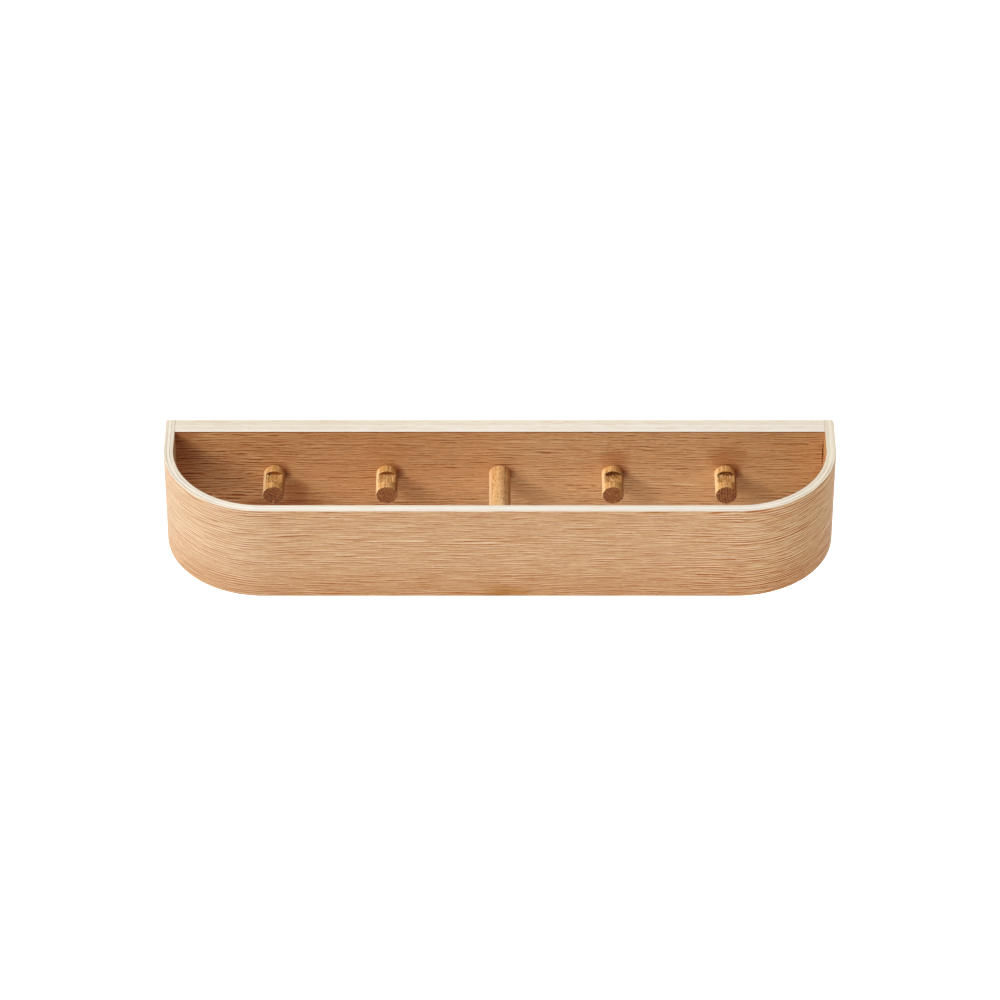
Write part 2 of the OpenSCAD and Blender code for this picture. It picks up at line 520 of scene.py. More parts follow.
class PlyLayers(Effect):
    """Cut edge of plywood: plies of long and of cross grain with thin glue lines between them."""

    title = "ply layers"
    shift_mm = 30.0
    waver_mm = 26.0
    fibre_mm: Pair = (22.0, 0.42)
    speck_mm: Pair = (0.55, 0.4)
    patch_mm: Pair = (24.0, 3.2)
    dash_mm: Pair = (17.0, 0.6)
    broken_mm = 40.0
    calm_mm: Pair = (270.0, 160.0)
    line_core = 0.25
    patch_between: Pair = (0.56, 0.74)
    patch_strength = 0.3
    dash_between: Pair = (0.55, 0.7)
    broken_between: Pair = (0.38, 0.62)
    fine_roughness = 0.6
    fibre_shade, speck_shade = 0.16, 0.22
    rough, rough_cross, rough_swing = 0.52, 0.12, 0.1
    speck_height, line_height = 0.3, 0.5

    def work_out(self) -> tuple[Signal, Signal, Signal]:
        """Lay plies, glue lines, pores of the cross plies and broad warm patches over each other.

        Returns:
            The edge's colour, roughness and height.
        """
        t, given = self.tree, self.given
        along, depth, across = self.grain
        shifted = across / self.shift_mm + given.shift

        def grained(size_mm: Pair, level: Signal, *layers: float) -> Signal:
            """Sample noise of a length and a height over the edge."""
            return t.noise((along / size_mm[0], level / size_mm[1], shifted), *layers)

        level = depth + t.noise((along / self.waver_mm, 0.0, shifted), 3.0).swing(given.waver)
        count = (level - given.first_line) / given.ply
        share, number = t.math("FRACT", count), t.math("FLOOR", count)
        cross = t.math("PINGPONG", number, 1.0)
        to_line = t.math("MINIMUM", share, 1.0 - share) * given.ply
        line = to_line.rise(given.line_width, given.line_width * self.line_core)

        fibre = grained(self.fibre_mm, depth, 3.0, self.fine_roughness)
        speck = grained(self.speck_mm, depth, 2.0, self.fine_roughness)
        shade = fibre.swing(self.fibre_shade) + cross * speck.swing(self.speck_shade)
        patch = grained(self.patch_mm, depth).rise(*self.patch_between) * self.patch_strength
        dash = grained(self.dash_mm, level).rise(*self.dash_between) * given.dashes
        broken = t.noise((along / self.broken_mm, number, shifted), 3.0).rise(*self.broken_between)
        calm = t.math("ABSOLUTE", along).rise(*self.calm_mm) * given.calm
        colour = t.mix(cross, given.long_ply, given.cross_ply)
        colour = t.mix(shade.held(-1.0), colour, given.glue)
        colour = t.mix(patch, colour, given.blush)
        colour = t.mix(dash, colour, given.blush)
        colour = t.mix(line * broken * (given.line_strength - calm), colour, given.glue)
        rough = cross * self.rough_cross + (fibre.swing(self.rough_swing) + self.rough)
        return colour, rough, speck * self.speck_height - line * self.line_height


class TurnedFigure(Effect):
    """Solid oak rod: year rings round a pith outside it, pores, rays and darker end grain, with painted light
    and shade on its flanks and painted shade in its saddle.
    """

    title = "turned oak figure"
    far_mm, near_mm = 34.0, 9.0
    wander_mm, wander_rings, wander_edge = 7.0, 2.4, 2.5
    early_wood: tuple[Pair, Pair] = ((0.0, 0.12), (0.62, 0.2))
    pore_mm = 0.5
    pore_between: Pair = (0.52, 0.68)
    fibre_mm, fibre_shade = 0.8, 2.3
    mottle_long_mm, mottle_mm, mottle_shade = 3.4, 1.5, 2.0
    early_shade = 0.28
    rays, ray_mm = 22.0, 7.0
    ray_between: Pair = (0.6, 0.72)
    pore_on_side, ray_on_side, ray_on_end = 0.5, 0.25, 0.3
    # Where the painted light on the left flank and the painted shade on the right flank fade in, across the
    # rod.
    sap_mm: Pair = (-6.0, -9.0)
    heart_mm: Pair = (6.6, 9.4)
    worked_mm: Pair = (0.15, 0.6)
    tear_mm: Pair = (5.0, 0.8)
    tear_level = 3.3
    torn_between: Pair = (0.38, 0.66)
    clean_between: Pair = (0.42, 0.3)
    burn_mm: Pair = (1.6, 1.3)
    burn_roughness = 0.7
    burn_between: Pair = (0.44, 0.56)
    burn_edge_mm, wall_edge_mm = 3.0, 0.4
    foot_mm: Pair = (-0.6, -2.4)
    grit_mm, grit_roughness, grit_shade, grit_lift = 1.5, 0.8, 4.5, -0.3
    end_between: Pair = (0.8, 0.97)
    rough, rough_swing, rough_end = 0.44, 0.16, 0.18
    fibre_height, pore_height = 0.4, 0.8

    def round_noise(self, lengthwise: Signal, size_mm: float, *layers: float) -> Signal:
        """Sample noise as coarse across the rod as up it."""
        return self.tree.noise((lengthwise, self.across / size_mm, self.up / size_mm), *layers)

    def from_point(self, across: Signal, up: Signal) -> Signal:
        """Give the length of a way across and up."""
        return self.tree.math("SQRT", across * across + up * up)

    def work_out(self) -> tuple[Signal, Signal, Signal]:
        """Lay the turned side and the end grain out and choose between them by the face's turn.

        Returns:
            The rod's colour, roughness and height.
        """
        t, given = self.tree, self.given
        self.along, self.across, self.up = self.grain
        self.far = self.along / self.far_mm + given.shift
        self.wander = self.round_noise(self.far, self.wander_mm)
        from_x, from_z = self.across - given.pith_across, self.up - given.pith_up
        radius = self.from_point(from_x, from_z) + self.wander.swing(self.wander_rings)
        self.early = t.math("FRACT", radius / given.ring).hump(*self.early_wood)
        near = self.along / self.near_mm + given.shift
        self.pore = self.round_noise(near, self.pore_mm, 1.0).rise(*self.pore_between) * self.early
        self.fibre = self.round_noise(self.far, self.fibre_mm, 3.0, 0.6)
        angle = t.math("ARCTAN2", from_z, from_x)
        ray = t.noise((angle * self.rays, radius / self.ray_mm, self.far), 1.0)
        self.ray = ray.rise(*self.ray_between)

        # Darkening of the saddle, partly saw scorching and partly painted shade, fading out to the right.
        burn_and_shade_spot = (self.far, self.across / self.burn_mm[0], self.up / self.burn_mm[1])
        burn = t.noise(burn_and_shade_spot, 2.0, self.burn_roughness).rise(*self.burn_between) * given.scorch
        right = given.scorch_right
        burn = burn * self.across.rise(right + self.burn_edge_mm, right)
        facing = t.math("ABSOLUTE", t.split(t.node("TexCoord").outputs["Normal"])[1])
        end = facing.rise(*self.end_between)
        colour = t.mix(end, self.side(burn), self.end_grain(burn))
        rough = (self.rough - self.fibre.swing(self.rough_swing)) + end * self.rough_end
        return colour, rough, self.fibre * self.fibre_height - self.pore * self.pore_height

    def side(self, burn: Signal) -> Signal:
        """Colour the turned side with painted light and shade on its flanks, the torn saddle, and the foot of
        its wall, darkened by saw scorching and by painted shade.

        Args:
            burn: Where the saddle is darkened, by saw scorching and by painted shade.

        Returns:
            The colour.
        """
        t, given = self.tree, self.given
        mottle = self.round_noise(self.along / self.mottle_long_mm + given.shift, self.mottle_mm)
        light = self.fibre.swing(self.fibre_shade) + mottle.swing(self.mottle_shade) * given.mottle
        light = light - self.early * self.early_shade
        edge = self.across + self.wander.swing(self.wander_edge)
        worked = (given.radius - self.from_point(self.across, self.up)).rise(*self.worked_mm)
        tear_long, tear_wide = self.tear_mm
        tear_spot = (self.along / tear_long + given.shift, self.across / tear_wide, self.tear_level)
        tear = t.noise(tear_spot, 2.0, 0.6)
        foot_start, foot_end = (given.scorch_to + level for level in self.foot_mm)
        colour = t.mix(light.held(-1.0), given.body, given.dark)
        colour = t.mix(light.held(), colour, given.pale)
        colour = t.mix(self.pore * self.pore_on_side, colour, given.dark)
        colour = t.mix(self.ray * self.ray_on_side, colour, given.pale)
        # Painted light on the left flank and painted shade on the right flank.
        colour = t.mix(edge.rise(*self.sap_mm) * given.flank, colour, given.pale)
        colour = t.mix(edge.rise(*self.heart_mm) * given.flank, colour, given.dark)
        colour = t.mix(worked * tear.rise(*self.torn_between) * given.tear, colour, given.dark)
        colour = t.mix(worked * tear.rise(*self.clean_between), colour, given.pale)
        # Painted shade in the crevice at the foot of the saddle's wall, with some saw scorching.
        return t.mix(self.along.rise(foot_start, foot_end) * worked * burn, colour, given.end_dark)

    def end_grain(self, burn: Signal) -> Signal:
        """Colour the free end and the saddle's wall, darkened by saw scorching and by painted shade.

        Args:
            burn: Where the saddle is darkened, by saw scorching and by painted shade.

        Returns:
            The colour.
        """
        t, given = self.tree, self.given
        grit = self.round_noise(self.far, self.grit_mm, 2.0, self.grit_roughness)
        shade = self.early * given.end_lines + grit.swing(self.grit_shade)
        colour = t.mix(shade.held(), given.end, given.end_dark)
        colour = t.mix(shade.held(self.grit_lift), colour, given.body)
        colour = t.mix(self.ray * self.ray_on_end, colour, given.body)
        # The saddle's wall, darkened partly by saw scorching and partly by painted shade.
        on_saddle_wall = self.along.rise(given.scorch_to + self.wall_edge_mm, given.scorch_to)
        return t.mix(on_saddle_wall, colour, t.mix(burn, given.dark, given.end_dark, Blend.TINT))


Effects = dict[type, Effect]


class Mark:
    """Mark in a finish, placed by the grain coordinates."""

    colour: Colour
    strength: float
    blend = Blend.TINT

    def share(self, tree: Tree, grain: Grain) -> Signal:
        """Tell from 0 to 1 where the mark shows."""
        raise NotImplementedError

    def lay(self, tree: Tree, colour: Signal) -> Signal:
        """Put the mark on a colour.

        Args:
            tree: The material's tree.
            colour: Colour under the mark.

        Returns:
            The colour with the mark on it.
        """
        share = self.share(tree, tree.split(tree.grain_vector())) * self.strength
        return tree.mix(share, colour, linear(self.colour), self.blend)


@dataclass(frozen=True)
class StainAndShadow(Mark):
    """Small soft spot in the front of a veneer, used for warm stains and for painted shadows."""

    along_mm: float
    across_mm: float
    half_long_mm: float
    half_high_mm: float
    colour: Colour
    strength: float

    rim_long_mm, rim_high_mm, rim_swing, rim = 7.0, 1.6, 1.1, 1.4
    skin_mm = (3.0, 1.0)

    def share(self, tree: Tree, grain: Grain) -> Signal:
        """Fade from the spot's middle to its uneven rim, and hold it to its own face.

        Args:
            tree: The material's tree.
            grain: How far along, below and across the grain a point lies.

        Returns:
            Share of the spot, from 0 to 1.
        """
        along, depth, across = grain
        long_share = (along - self.along_mm) / self.half_long_mm
        high_share = (across - self.across_mm) / self.half_high_mm
        rim_spot = (along / self.rim_long_mm, depth, across / self.rim_high_mm)
        spread = tree.noise(rim_spot).swing(self.rim_swing)
        inside = (long_share * long_share + high_share * high_share + spread).rise(self.rim, 0.0)
        return inside * depth.rise(*self.skin_mm)


@dataclass(frozen=True)
class Arris(Mark):
    """Dark line along the upper or lower edge of a veneered face."""

    from_mm: float
    to_mm: float
    colour: Colour
    strength: float

    waver_long_mm, waver_mm = 14.0, 0.6

    def share(self, tree: Tree, grain: Grain) -> Signal:
        """Rise near the trimmed edges.

        Args:
            tree: The material's tree.
            grain: How far along, below and across the grain a point lies.

        Returns:
            Share of the line, from 0 to 1.
        """
        along, depth, across = grain
        uneven = tree.noise((along / self.waver_long_mm, depth, 0.0)).swing(self.waver_mm)
        return (tree.math("ABSOLUTE", across) + uneven).rise(self.from_mm, self.to_mm)


@dataclass(frozen=True)
class Fade(Mark):
    """Slow change of colour from one place to another, used for tone and for painted light and shade."""

    from_mm: float
    to_mm: float
    colour: Colour
    strength: float
    blend: Blend = Blend.TINT
    axis: Axis = Axis.ALONG
    uneven_mm: float = 70.0

    cloud_long_mm, cloud_high_mm = 70.0, 11.0

    def share(self, tree: Tree, grain: Grain) -> Signal:
        """Rise unevenly between the two places.

        Args:
            tree: The material's tree.
            grain: How far along, below and across the grain a point lies.

        Returns:
            Share of the change, from 0 to 1.
        """
        along, depth, across = grain
        cloud = tree.noise((along / self.cloud_long_mm, depth, across / self.cloud_high_mm))
        return (grain[self.axis.value] + cloud.swing(self.uneven_mm)).rise(self.from_mm, self.to_mm)


def open_material(name: str) -> tuple[bpy.types.Material, Tree, bpy.types.Node]:
    """Open a material with its main shader.

    Args:
        name: The material's name.

    Returns:
        The material, its tree and its shader.
    """
    made = bpy.data.materials.new(name)
    tree = Tree.of(made)
    shader = tree.node("BsdfPrincipled")
    tree.feed(tree.node("OutputMaterial").inputs["Surface"], shader.outputs[0])
    return made, tree, shader


@dataclass(frozen=True, kw_only=True)
class WoodFinish:
    """Oiled wood, whose figure is the effect for its kind with this finish's own values."""

    name: str
    shift: float
    relief_mm: float
    gloss: float = 0.25
    marks: tuple[Mark, ...] = ()

    def material(self, effects: Effects) -> bpy.types.Material:
        """Build the material.

        Args:
            effects: The shared effect for each kind of finish.

        Returns:
            The finished material.
        """
        made, tree, shader = open_material(self.name)
        figure = effects[type(self)].place(tree, self)
        colour = Signal(tree, figure.outputs["Color"])
        for mark in self.marks:
            colour = mark.lay(tree, colour)
        tree.feed(shader.inputs["Base Color"], colour)
        tree.feed(shader.inputs["Specular IOR Level"], self.gloss)
        tree.feed(shader.inputs["Roughness"], figure.outputs["Roughness"])
        tree.raise_relief(shader, figure.outputs["Height"], self.relief_mm)
        return made


@dataclass(frozen=True, kw_only=True)
class VeneerFinish(WoodFinish):
    """Oiled oak veneer on the faces of plywood."""

    pale: Colour
    body: Colour
    dark: Colour
    ochre: Colour
    line_length_mm: float
    line_width_mm: float
    year_mm: float
    years: float
    drift_mm: float
    ripple_mm: float
    lines: float
    pores: float
    grit: float
    bold_left: float
    bold_right: float
    bold_from_mm: float
    bold_to_mm: float


@dataclass(frozen=True, kw_only=True)
class PlyFinish(WoodFinish):
    """Sanded and oiled edge of plywood."""

    long_ply: Colour
    cross_ply: Colour
    glue: Colour
    blush: Colour
    first_line_mm: float
    ply_mm: float
    line_width_mm: float
    line_strength: float
    waver_mm: float
    calm: float
    dashes: float


@dataclass(frozen=True, kw_only=True)
class RodFinish(WoodFinish):
    """Oiled solid wood of a turned rod."""

    pale: Colour = (252, 218, 164)
    body: Colour = (224, 171, 102)
    dark: Colour = (140, 80, 30)
    end: Colour = (160, 99, 52)
    end_dark: Colour = (88, 40, 14)
    pith_across_mm: float
    pith_up_mm: float
    ring_mm: float
    mottle: float = 0.95
    relief_mm: float = 0.06
    end_lines: float = 0.7
    radius_mm: float = 10.0
    # Strength of the painted light on the left flank and of the painted shade on the right flank.
    flank: float = 0.0
    # How dark the saddle is made, partly saw scorching and partly painted shade; where that ends along the
    # rod; how far right it reaches.
    scorch: float = 0.0
    scorch_to_mm: float = 0.0
    scorch_right_mm: float = 12.0
    tear: float = 0.0


@dataclass(frozen=True)
class ZincFinish:
    """Zinc-plated steel with faint clouding and draw marks."""

    name: str = "zinc plated steel"
    bright: Colour = (206, 208, 212)
    dull: Colour = (164, 166, 170)
    cloud_mm: float = 1.4
    mark_mm: float = 0.12
    relief_mm: float = 0.02
    rough: float = 0.3
    rough_swing: float = 0.25

    def material(self) -> bpy.types.Material:
        """Build the metal's material.

        Returns:
            The finished material.
        """
        made, tree, shader = open_material(self.name)
        along, across, up = tree.split(tree.grain_vector())
        cloud = tree.noise((along, across / self.cloud_mm, up / self.cloud_mm), 3.0)
        tree.feed(shader.inputs["Base Color"], tree.mix(cloud, linear(self.bright), linear(self.dull)))
        tree.feed(shader.inputs["Metallic"], 1.0)
        tree.feed(shader.inputs["Roughness"], cloud.swing(self.rough_swing) + self.rough)
        tree.raise_relief(shader, tree.noise((along / self.mark_mm, across, up)), self.relief_mm)
        return made


BAND_VENEER = VeneerFinish(
    name="band oak veneer",
    pale=(231, 204, 167),
    body=(207, 163, 120),
    dark=(168, 89, 34),
    ochre=(246, 232, 200),
    shift=3.7,
    line_length_mm=42.0,
    line_width_mm=0.62,
    year_mm=2.3,
    years=0.85,
    drift_mm=10.0,
    ripple_mm=1.5,
    lines=0.66,
    pores=0.5,
    grit=0.75,
    bold_left=0.6,
    bold_right=1.1,
    bold_from_mm=160.0,
    bold_to_mm=260.0,
    relief_mm=0.05,
    gloss=0.15,
    marks=(
        # Painted highlight: a paler veil over the left bend.
        Fade(-170.0, -290.0, (236, 214, 182), 0.25, Blend.VEIL),
        # Painted shade: a warmer, slightly darker right bend.
        Fade(205.0, 320.0, (249, 244, 222), 1.0),
        # Painted shade: darker and warmer towards the bottom edge.
        Fade(0.0, -50.0, (243, 229, 215), 1.0, axis=Axis.ACROSS, uneven_mm=14.0),
        # Painted warm shade on the band's inner face, inside the tray.
        Fade(7.0, 8.4, (240, 224, 196), 0.8, axis=Axis.DEPTH, uneven_mm=0.0),
        StainAndShadow(5.0, -48.0, 24.0, 13.0, (234, 222, 178), 0.9),
        StainAndShadow(0.0, -49.5, 11.0, 4.0, (230, 208, 150), 0.8),
    ),
)
# The board's veneer is lighter and warmer than the band's: partly its own tone, partly painted light in the
# shaded tray.
BOARD_VENEER = VeneerFinish(
    name="board oak veneer",
    pale=(227, 190, 142),
    body=(211, 158, 107),
    dark=(150, 84, 30),
    ochre=(250, 238, 218),
    shift=11.3,
    line_length_mm=28.0,
    line_width_mm=0.75,
    year_mm=2.8,
    years=0.75,
    drift_mm=5.0,
    ripple_mm=3.4,
    lines=0.55,
    pores=0.6,
    grit=0.7,
    bold_left=0.75,
    bold_right=0.0,
    bold_from_mm=170.0,
    bold_to_mm=260.0,
    relief_mm=0.05,
    gloss=0.15,
    marks=(
        # Darker towards the left: partly the veneer's tone, partly painted shade of the band's left end.
        Fade(60.0, -100.0, (240, 228, 216), 1.0),
        Fade(185.0, 285.0, (241, 240, 231), 1.0),
        Arris(48.3, 49.3, (150, 95, 60), 0.85),
        # Painted shade in the left inner corner, beside the band's end.
        Fade(-268.0, -302.0, (208, 168, 128), 0.6, uneven_mm=20.0),
        # Painted shadows on the lower left: along the band's rim, and of the far-left peg.
        StainAndShadow(-200.0, -33.5, 44.0, 5.0, (206, 164, 116), 0.8),
        StainAndShadow(-190.0, -22.0, 13.0, 15.0, (216, 178, 134), 0.7),
        StainAndShadow(107.0, 17.0, 15.0, 13.0, (228, 206, 180), 0.65),
        StainAndShadow(213.0, 19.0, 20.0, 16.0, (228, 208, 184), 0.75),
        StainAndShadow(299.9, 24.0, 0.8, 17.0, (140, 88, 50), 0.9),
        # Painted contact shadows round the centre dowel and beside each peg's root.
        StainAndShadow(4.0, 1.6, 11.2, 11.0, (186, 142, 98), 0.8),
        *(StainAndShadow(along, 2.0, 11.5, 11.0, (180, 132, 88), 0.9) for along in (-205.0, -100.0, 110.0, 215.0)),
    ),
)
BAND_EDGE = PlyFinish(
    name="band plywood edge",
    long_ply=(249, 241, 227),
    cross_ply=(240, 231, 213),
    glue=(168, 138, 102),
    blush=(238, 206, 172),
    first_line_mm=2.5,
    ply_mm=3.15,
    line_width_mm=0.36,
    line_strength=1.0,
    waver_mm=0.5,
    calm=0.7,
    dashes=0.25,
    shift=2.0,
    relief_mm=0.03,
    marks=(
        # Painted shade towards both ends of the rim.
        Fade(-230.0, -330.0, (243, 241, 238), 1.0),
        Fade(230.0, 330.0, (249, 245, 239), 1.0),
    ),
)
BOARD_EDGE = PlyFinish(
    name="board plywood edge",
    long_ply=(243, 235, 221),
    cross_ply=(239, 230, 214),
    glue=(200, 174, 138),
    blush=(222, 184, 148),
    first_line_mm=1.6,
    ply_mm=2.9,
    line_width_mm=0.28,
    line_strength=0.6,
    waver_mm=1.1,
    calm=0.0,
    dashes=0.55,
    shift=7.0,
    relief_mm=0.03,
    marks=(
        # Painted shade towards the left end of the top edge.
        Fade(20.0, -220.0, (246, 245, 243), 1.0),
        Fade(9.0, 14.0, (251, 248, 243), 1.0, axis=Axis.DEPTH, uneven_mm=3.0),
        # Painted highlight along the front of the top edge.
        Fade(2.0, 0.8, (250, 245, 233), 0.7, Blend.VEIL, Axis.DEPTH, 0.0),
    ),
)


def peg_finish(
    column: Column, pith_mm: Pair, ring_mm: float, shift: float, end_lines: float, scorch: float, tear: float,
    scorch_right_mm: float = 12.0,
) -> RodFinish:
    """Finish one coat peg, whose saddle is torn and darkened in its own way, by saw scorching and by painted
    shade.

    Args:
        column: The peg's place in the row.
        pith_mm: How far across and up the pith of the log lay.
        ring_mm: Width of a year ring.
        shift: Place of the peg in the log.
        end_lines: Strength of the rings in the end grain.
        scorch: How dark the saddle's wall is, from saw scorching and painted shade.
        tear: How torn the saddle's floor is.
        scorch_right_mm: How far right that darkening reaches.

    Returns:
        The finish.
    """
    return RodFinish(
        name=f"peg oak {column.value}", pith_across_mm=pith_mm[0], pith_up_mm=pith_mm[1], ring_mm=ring_mm,
        shift=shift, end_lines=end_lines, flank=0.85, scorch=scorch, scorch_to_mm=20.0,
        scorch_right_mm=scorch_right_mm, tear=tear,
    )


PEG_FINISHES = {
    Column.FAR_LEFT: peg_finish(Column.FAR_LEFT, (17.0, 36.0), 3.3, 1.3, 0.7, 1.0, 0.5, -4.0),
    Column.LEFT: peg_finish(Column.LEFT, (36.0, -17.0), 2.4, 5.1, 0.5, 0.2, 0.5),
    Column.RIGHT: peg_finish(Column.RIGHT, (27.0, -22.0), 2.0, 9.7, 0.35, 1.0, 0.85),
    Column.FAR_RIGHT: peg_finish(Column.FAR_RIGHT, (44.0, 4.0), 2.5, 14.2, 0.9, 0.8, 0.65),
}
DOWEL_FINISH = RodFinish(
    name="centre dowel oak",
    pale=(240, 202, 154),
    body=(230, 180, 120),
    dark=(160, 90, 32),
    pith_across_mm=9.0,
    pith_up_mm=-60.0,
    ring_mm=3.4,
    mottle=1.3,
    shift=21.0,
    flank=0.7,
)
BEECH_FINISH = RodFinish(
    name="joint dowel beech",
    pale=(238, 216, 182),
    body=(226, 198, 160),
    dark=(196, 160, 120),
    end=(190, 152, 112),
    end_dark=(150, 110, 76),
    pith_across_mm=40.0,
    pith_up_mm=30.0,
    ring_mm=1.8,
    mottle=0.5,
    shift=31.0,
    relief_mm=0.05,
)


def full_turn(steps: int) -> np.ndarray:
    """Give even angles once round."""
    return np.linspace(0.0, 2 * math.pi, steps, endpoint=False)


def quarter_turn(steps: int) -> list[Pair]:
    """Give sine and cosine at even steps of a quarter turn."""
    turns = [step / steps * QUARTER for step in range(steps + 1)]
    return [(math.sin(turn), math.cos(turn)) for turn in turns]


def closed_shell(name: str, rings: Sequence[np.ndarray]) -> bpy.types.Mesh:
    """Skin a row of closed rings with as many points each, and cap both ends.

    Args:
        name: The mesh's name.
        rings: Points of each ring in millimetres.

    Returns:
        The closed mesh in metres.
    """
    points = np.array(rings)
    count, around, _ = points.shape
    start = np.arange(count - 1)[:, None] * around
    here = np.arange(around)[None, :]
    there = (here + 1) % around
    sides = np.stack([start + here, start + there, start + around + there, start + around + here], axis=-1)
    caps = [list(range(around))[::-1], list(range((count - 1) * around, count * around))]
    mesh = bpy.data.meshes.new(name)
    mesh.from_pydata((points.reshape(-1, 3) * MM).tolist(), [], sides.reshape(-1, 4).tolist() + caps)
    mesh.update()
    if sum(face.center.dot(face.normal) * face.area for face in mesh.polygons) < 0:
        mesh.flip_normals()
    return mesh


def make_object(mesh: bpy.types.Mesh) -> bpy.types.Object:
    """Put a mesh into the scene under its own name.

    Args:
        mesh: The mesh.

    Returns:
        The object that shows it.
    """
    made = bpy.data.objects.new(mesh.name, mesh)
    bpy.context.scene.collection.objects.link(made)
    return made


def settle(piece: bpy.types.Object) -> None:
    """Turn what a piece's modifiers make into its own mesh.

    Args:
        piece: Piece whose modifiers are used up.
    """
    ready = piece.evaluated_get(bpy.context.evaluated_depsgraph_get())
    mesh = bpy.data.meshes.new_from_object(ready)
    old = piece.data
    piece.modifiers.clear()
    piece.data = mesh
    mesh.name = piece.name
    bpy.data.meshes.remove(old)


def carve(piece: bpy.types.Object, cutters: Sequence[bpy.types.Mesh]) -> None:
    """Cut closed meshes out of a piece.

    Args:
        piece: The piece to cut.
        cutters: What is taken away, which is used up.
    """
    tools = [make_object(mesh) for mesh in cutters]
    for tool in tools:
        cut = piece.modifiers.new("cut", "BOOLEAN")
        cut.operation = "DIFFERENCE"
        cut.solver = "EXACT"
        cut.object = tool
    settle(piece)
    for tool in tools:
        mesh = tool.data
        bpy.data.objects.remove(tool)
        bpy.data.meshes.remove(mesh)


def smooth_shading(piece: bpy.types.Object, sharp_degrees: float) -> None:
    """Shade curved faces smoothly, keep flat faces flat and corners sharp.

    Args:
        piece: The piece.
        sharp_degrees: Turn between faces that stays sharp.
    """
    piece.data.shade_smooth()
    piece.data.set_sharp_from_angle(angle=math.radians(sharp_degrees))
    piece.modifiers.new("weighted normals", "WEIGHTED_NORMAL").keep_sharp = True
    settle(piece)


def eased_section(front: float, rear: float, height: float, arris: float, steps: int = 5) -> np.ndarray:
    """Outline a board's section with eased corners.

    Args:
        front: Depth of the front face in millimetres.
        rear: Depth of the rear face.
        height: Height of the section.
        arris: Radius of the corners.
        steps: Straight steps in each corner.

    Returns:
        Rows of depth and height, once round the section.
    """
    near, far, top = front + arris, rear - arris, height / 2 - arris
    corners = ((near, -top, 2), (far, -top, 3), (far, top, 0), (near, top, 1))
    rows = []
    for depth, level, quarter in corners:
        for step in range(steps + 1):
            turn = (quarter + step / steps) * QUARTER
            rows.append((depth + arris * math.cos(turn), level + arris * math.sin(turn)))
    return np.array(rows)


def slot_cutter(
    stations: Sequence[Pair], at: Sequence[float], rise: float = 0.0, turn_left: float = 0.0, steps: int = 64
) -> bpy.types.Mesh:
    """Make a cutter from circles along an axis, or from upright slots with round ends.

    Args:
        stations: Depth and radius of each slot in millimetres.
        at: Where the axis starts, in millimetres.
        rise: Distance between the slots' two centres.
        turn_left: Angle of the axis away from +Y.
        steps: Points round each slot.

    Returns:
        The closed cutter.
    """
    turn = full_turn(steps)
    lift = np.where(np.sin(turn) > 0, rise, 0.0)
    lean = np.array(Matrix.Rotation(turn_left, 3, "Z"))
    rings = []
    for depth, radius in stations:
        ring = np.stack([radius * np.cos(turn), np.full(steps, depth), radius * np.sin(turn) + lift], axis=-1)
        rings.append(ring @ lean.T + np.array(at))
    return closed_shell("cutter", rings)


@dataclass(kw_only=True)
class Piece:
    """Piece made from rings of points, which takes the place of one construction node."""

    node: str
    slot: str
    name: str
    sharp_degrees: float = 40.0

    def __post_init__(self) -> None:
        """Read the piece's place and size from the frame."""
        low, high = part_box(self.node)
        self.low_mm, self.high_mm = np.array(low) / MM, np.array(high) / MM
        self.centre_mm = (self.low_mm + self.high_mm) / 2
        self.size_mm = self.high_mm - self.low_mm

    def rings(self) -> list[np.ndarray]:
        """Set the rings that the piece is skinned from."""
        raise NotImplementedError

    def cutters(self) -> list[bpy.types.Mesh]:
        """Make what is cut out of the piece."""
        return []

    def grain(self, points: np.ndarray) -> np.ndarray:
        """Turn points into grain coordinates, both in millimetres."""
        raise NotImplementedError

    def dress(self, piece: bpy.types.Object, materials: Sequence[bpy.types.Material]) -> None:
        """Give the piece its finishes."""
        for material in materials:
            piece.data.materials.append(material)

    def build(self, *materials: bpy.types.Material) -> None:
        """Skin, cut, shade, mark and dress the piece, hang it under the root body, hide the node it replaces
        and log its slot.

        Args:
            materials: Its finishes.
        """
        piece = make_object(closed_shell(self.name, self.rings()))
        cutters = self.cutters()
        if cutters:
            carve(piece, cutters)
        smooth_shading(piece, self.sharp_degrees)
        mesh = piece.data
        flat = np.empty(len(mesh.vertices) * 3)
        mesh.vertices.foreach_get("co", flat)
        values = self.grain(flat.reshape(-1, 3) / MM).astype(np.float32)
        mesh.attributes.new(GRAIN, "FLOAT_VECTOR", "POINT").data.foreach_set("vector", values.ravel())
        self.dress(piece, materials)
        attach(piece, "root")
        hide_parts(self.node)
        triangles = sum(len(face.vertices) - 2 for face in mesh.polygons)
        LOG.info("%s: %d triangles, slot %s", piece.name, triangles, self.slot)


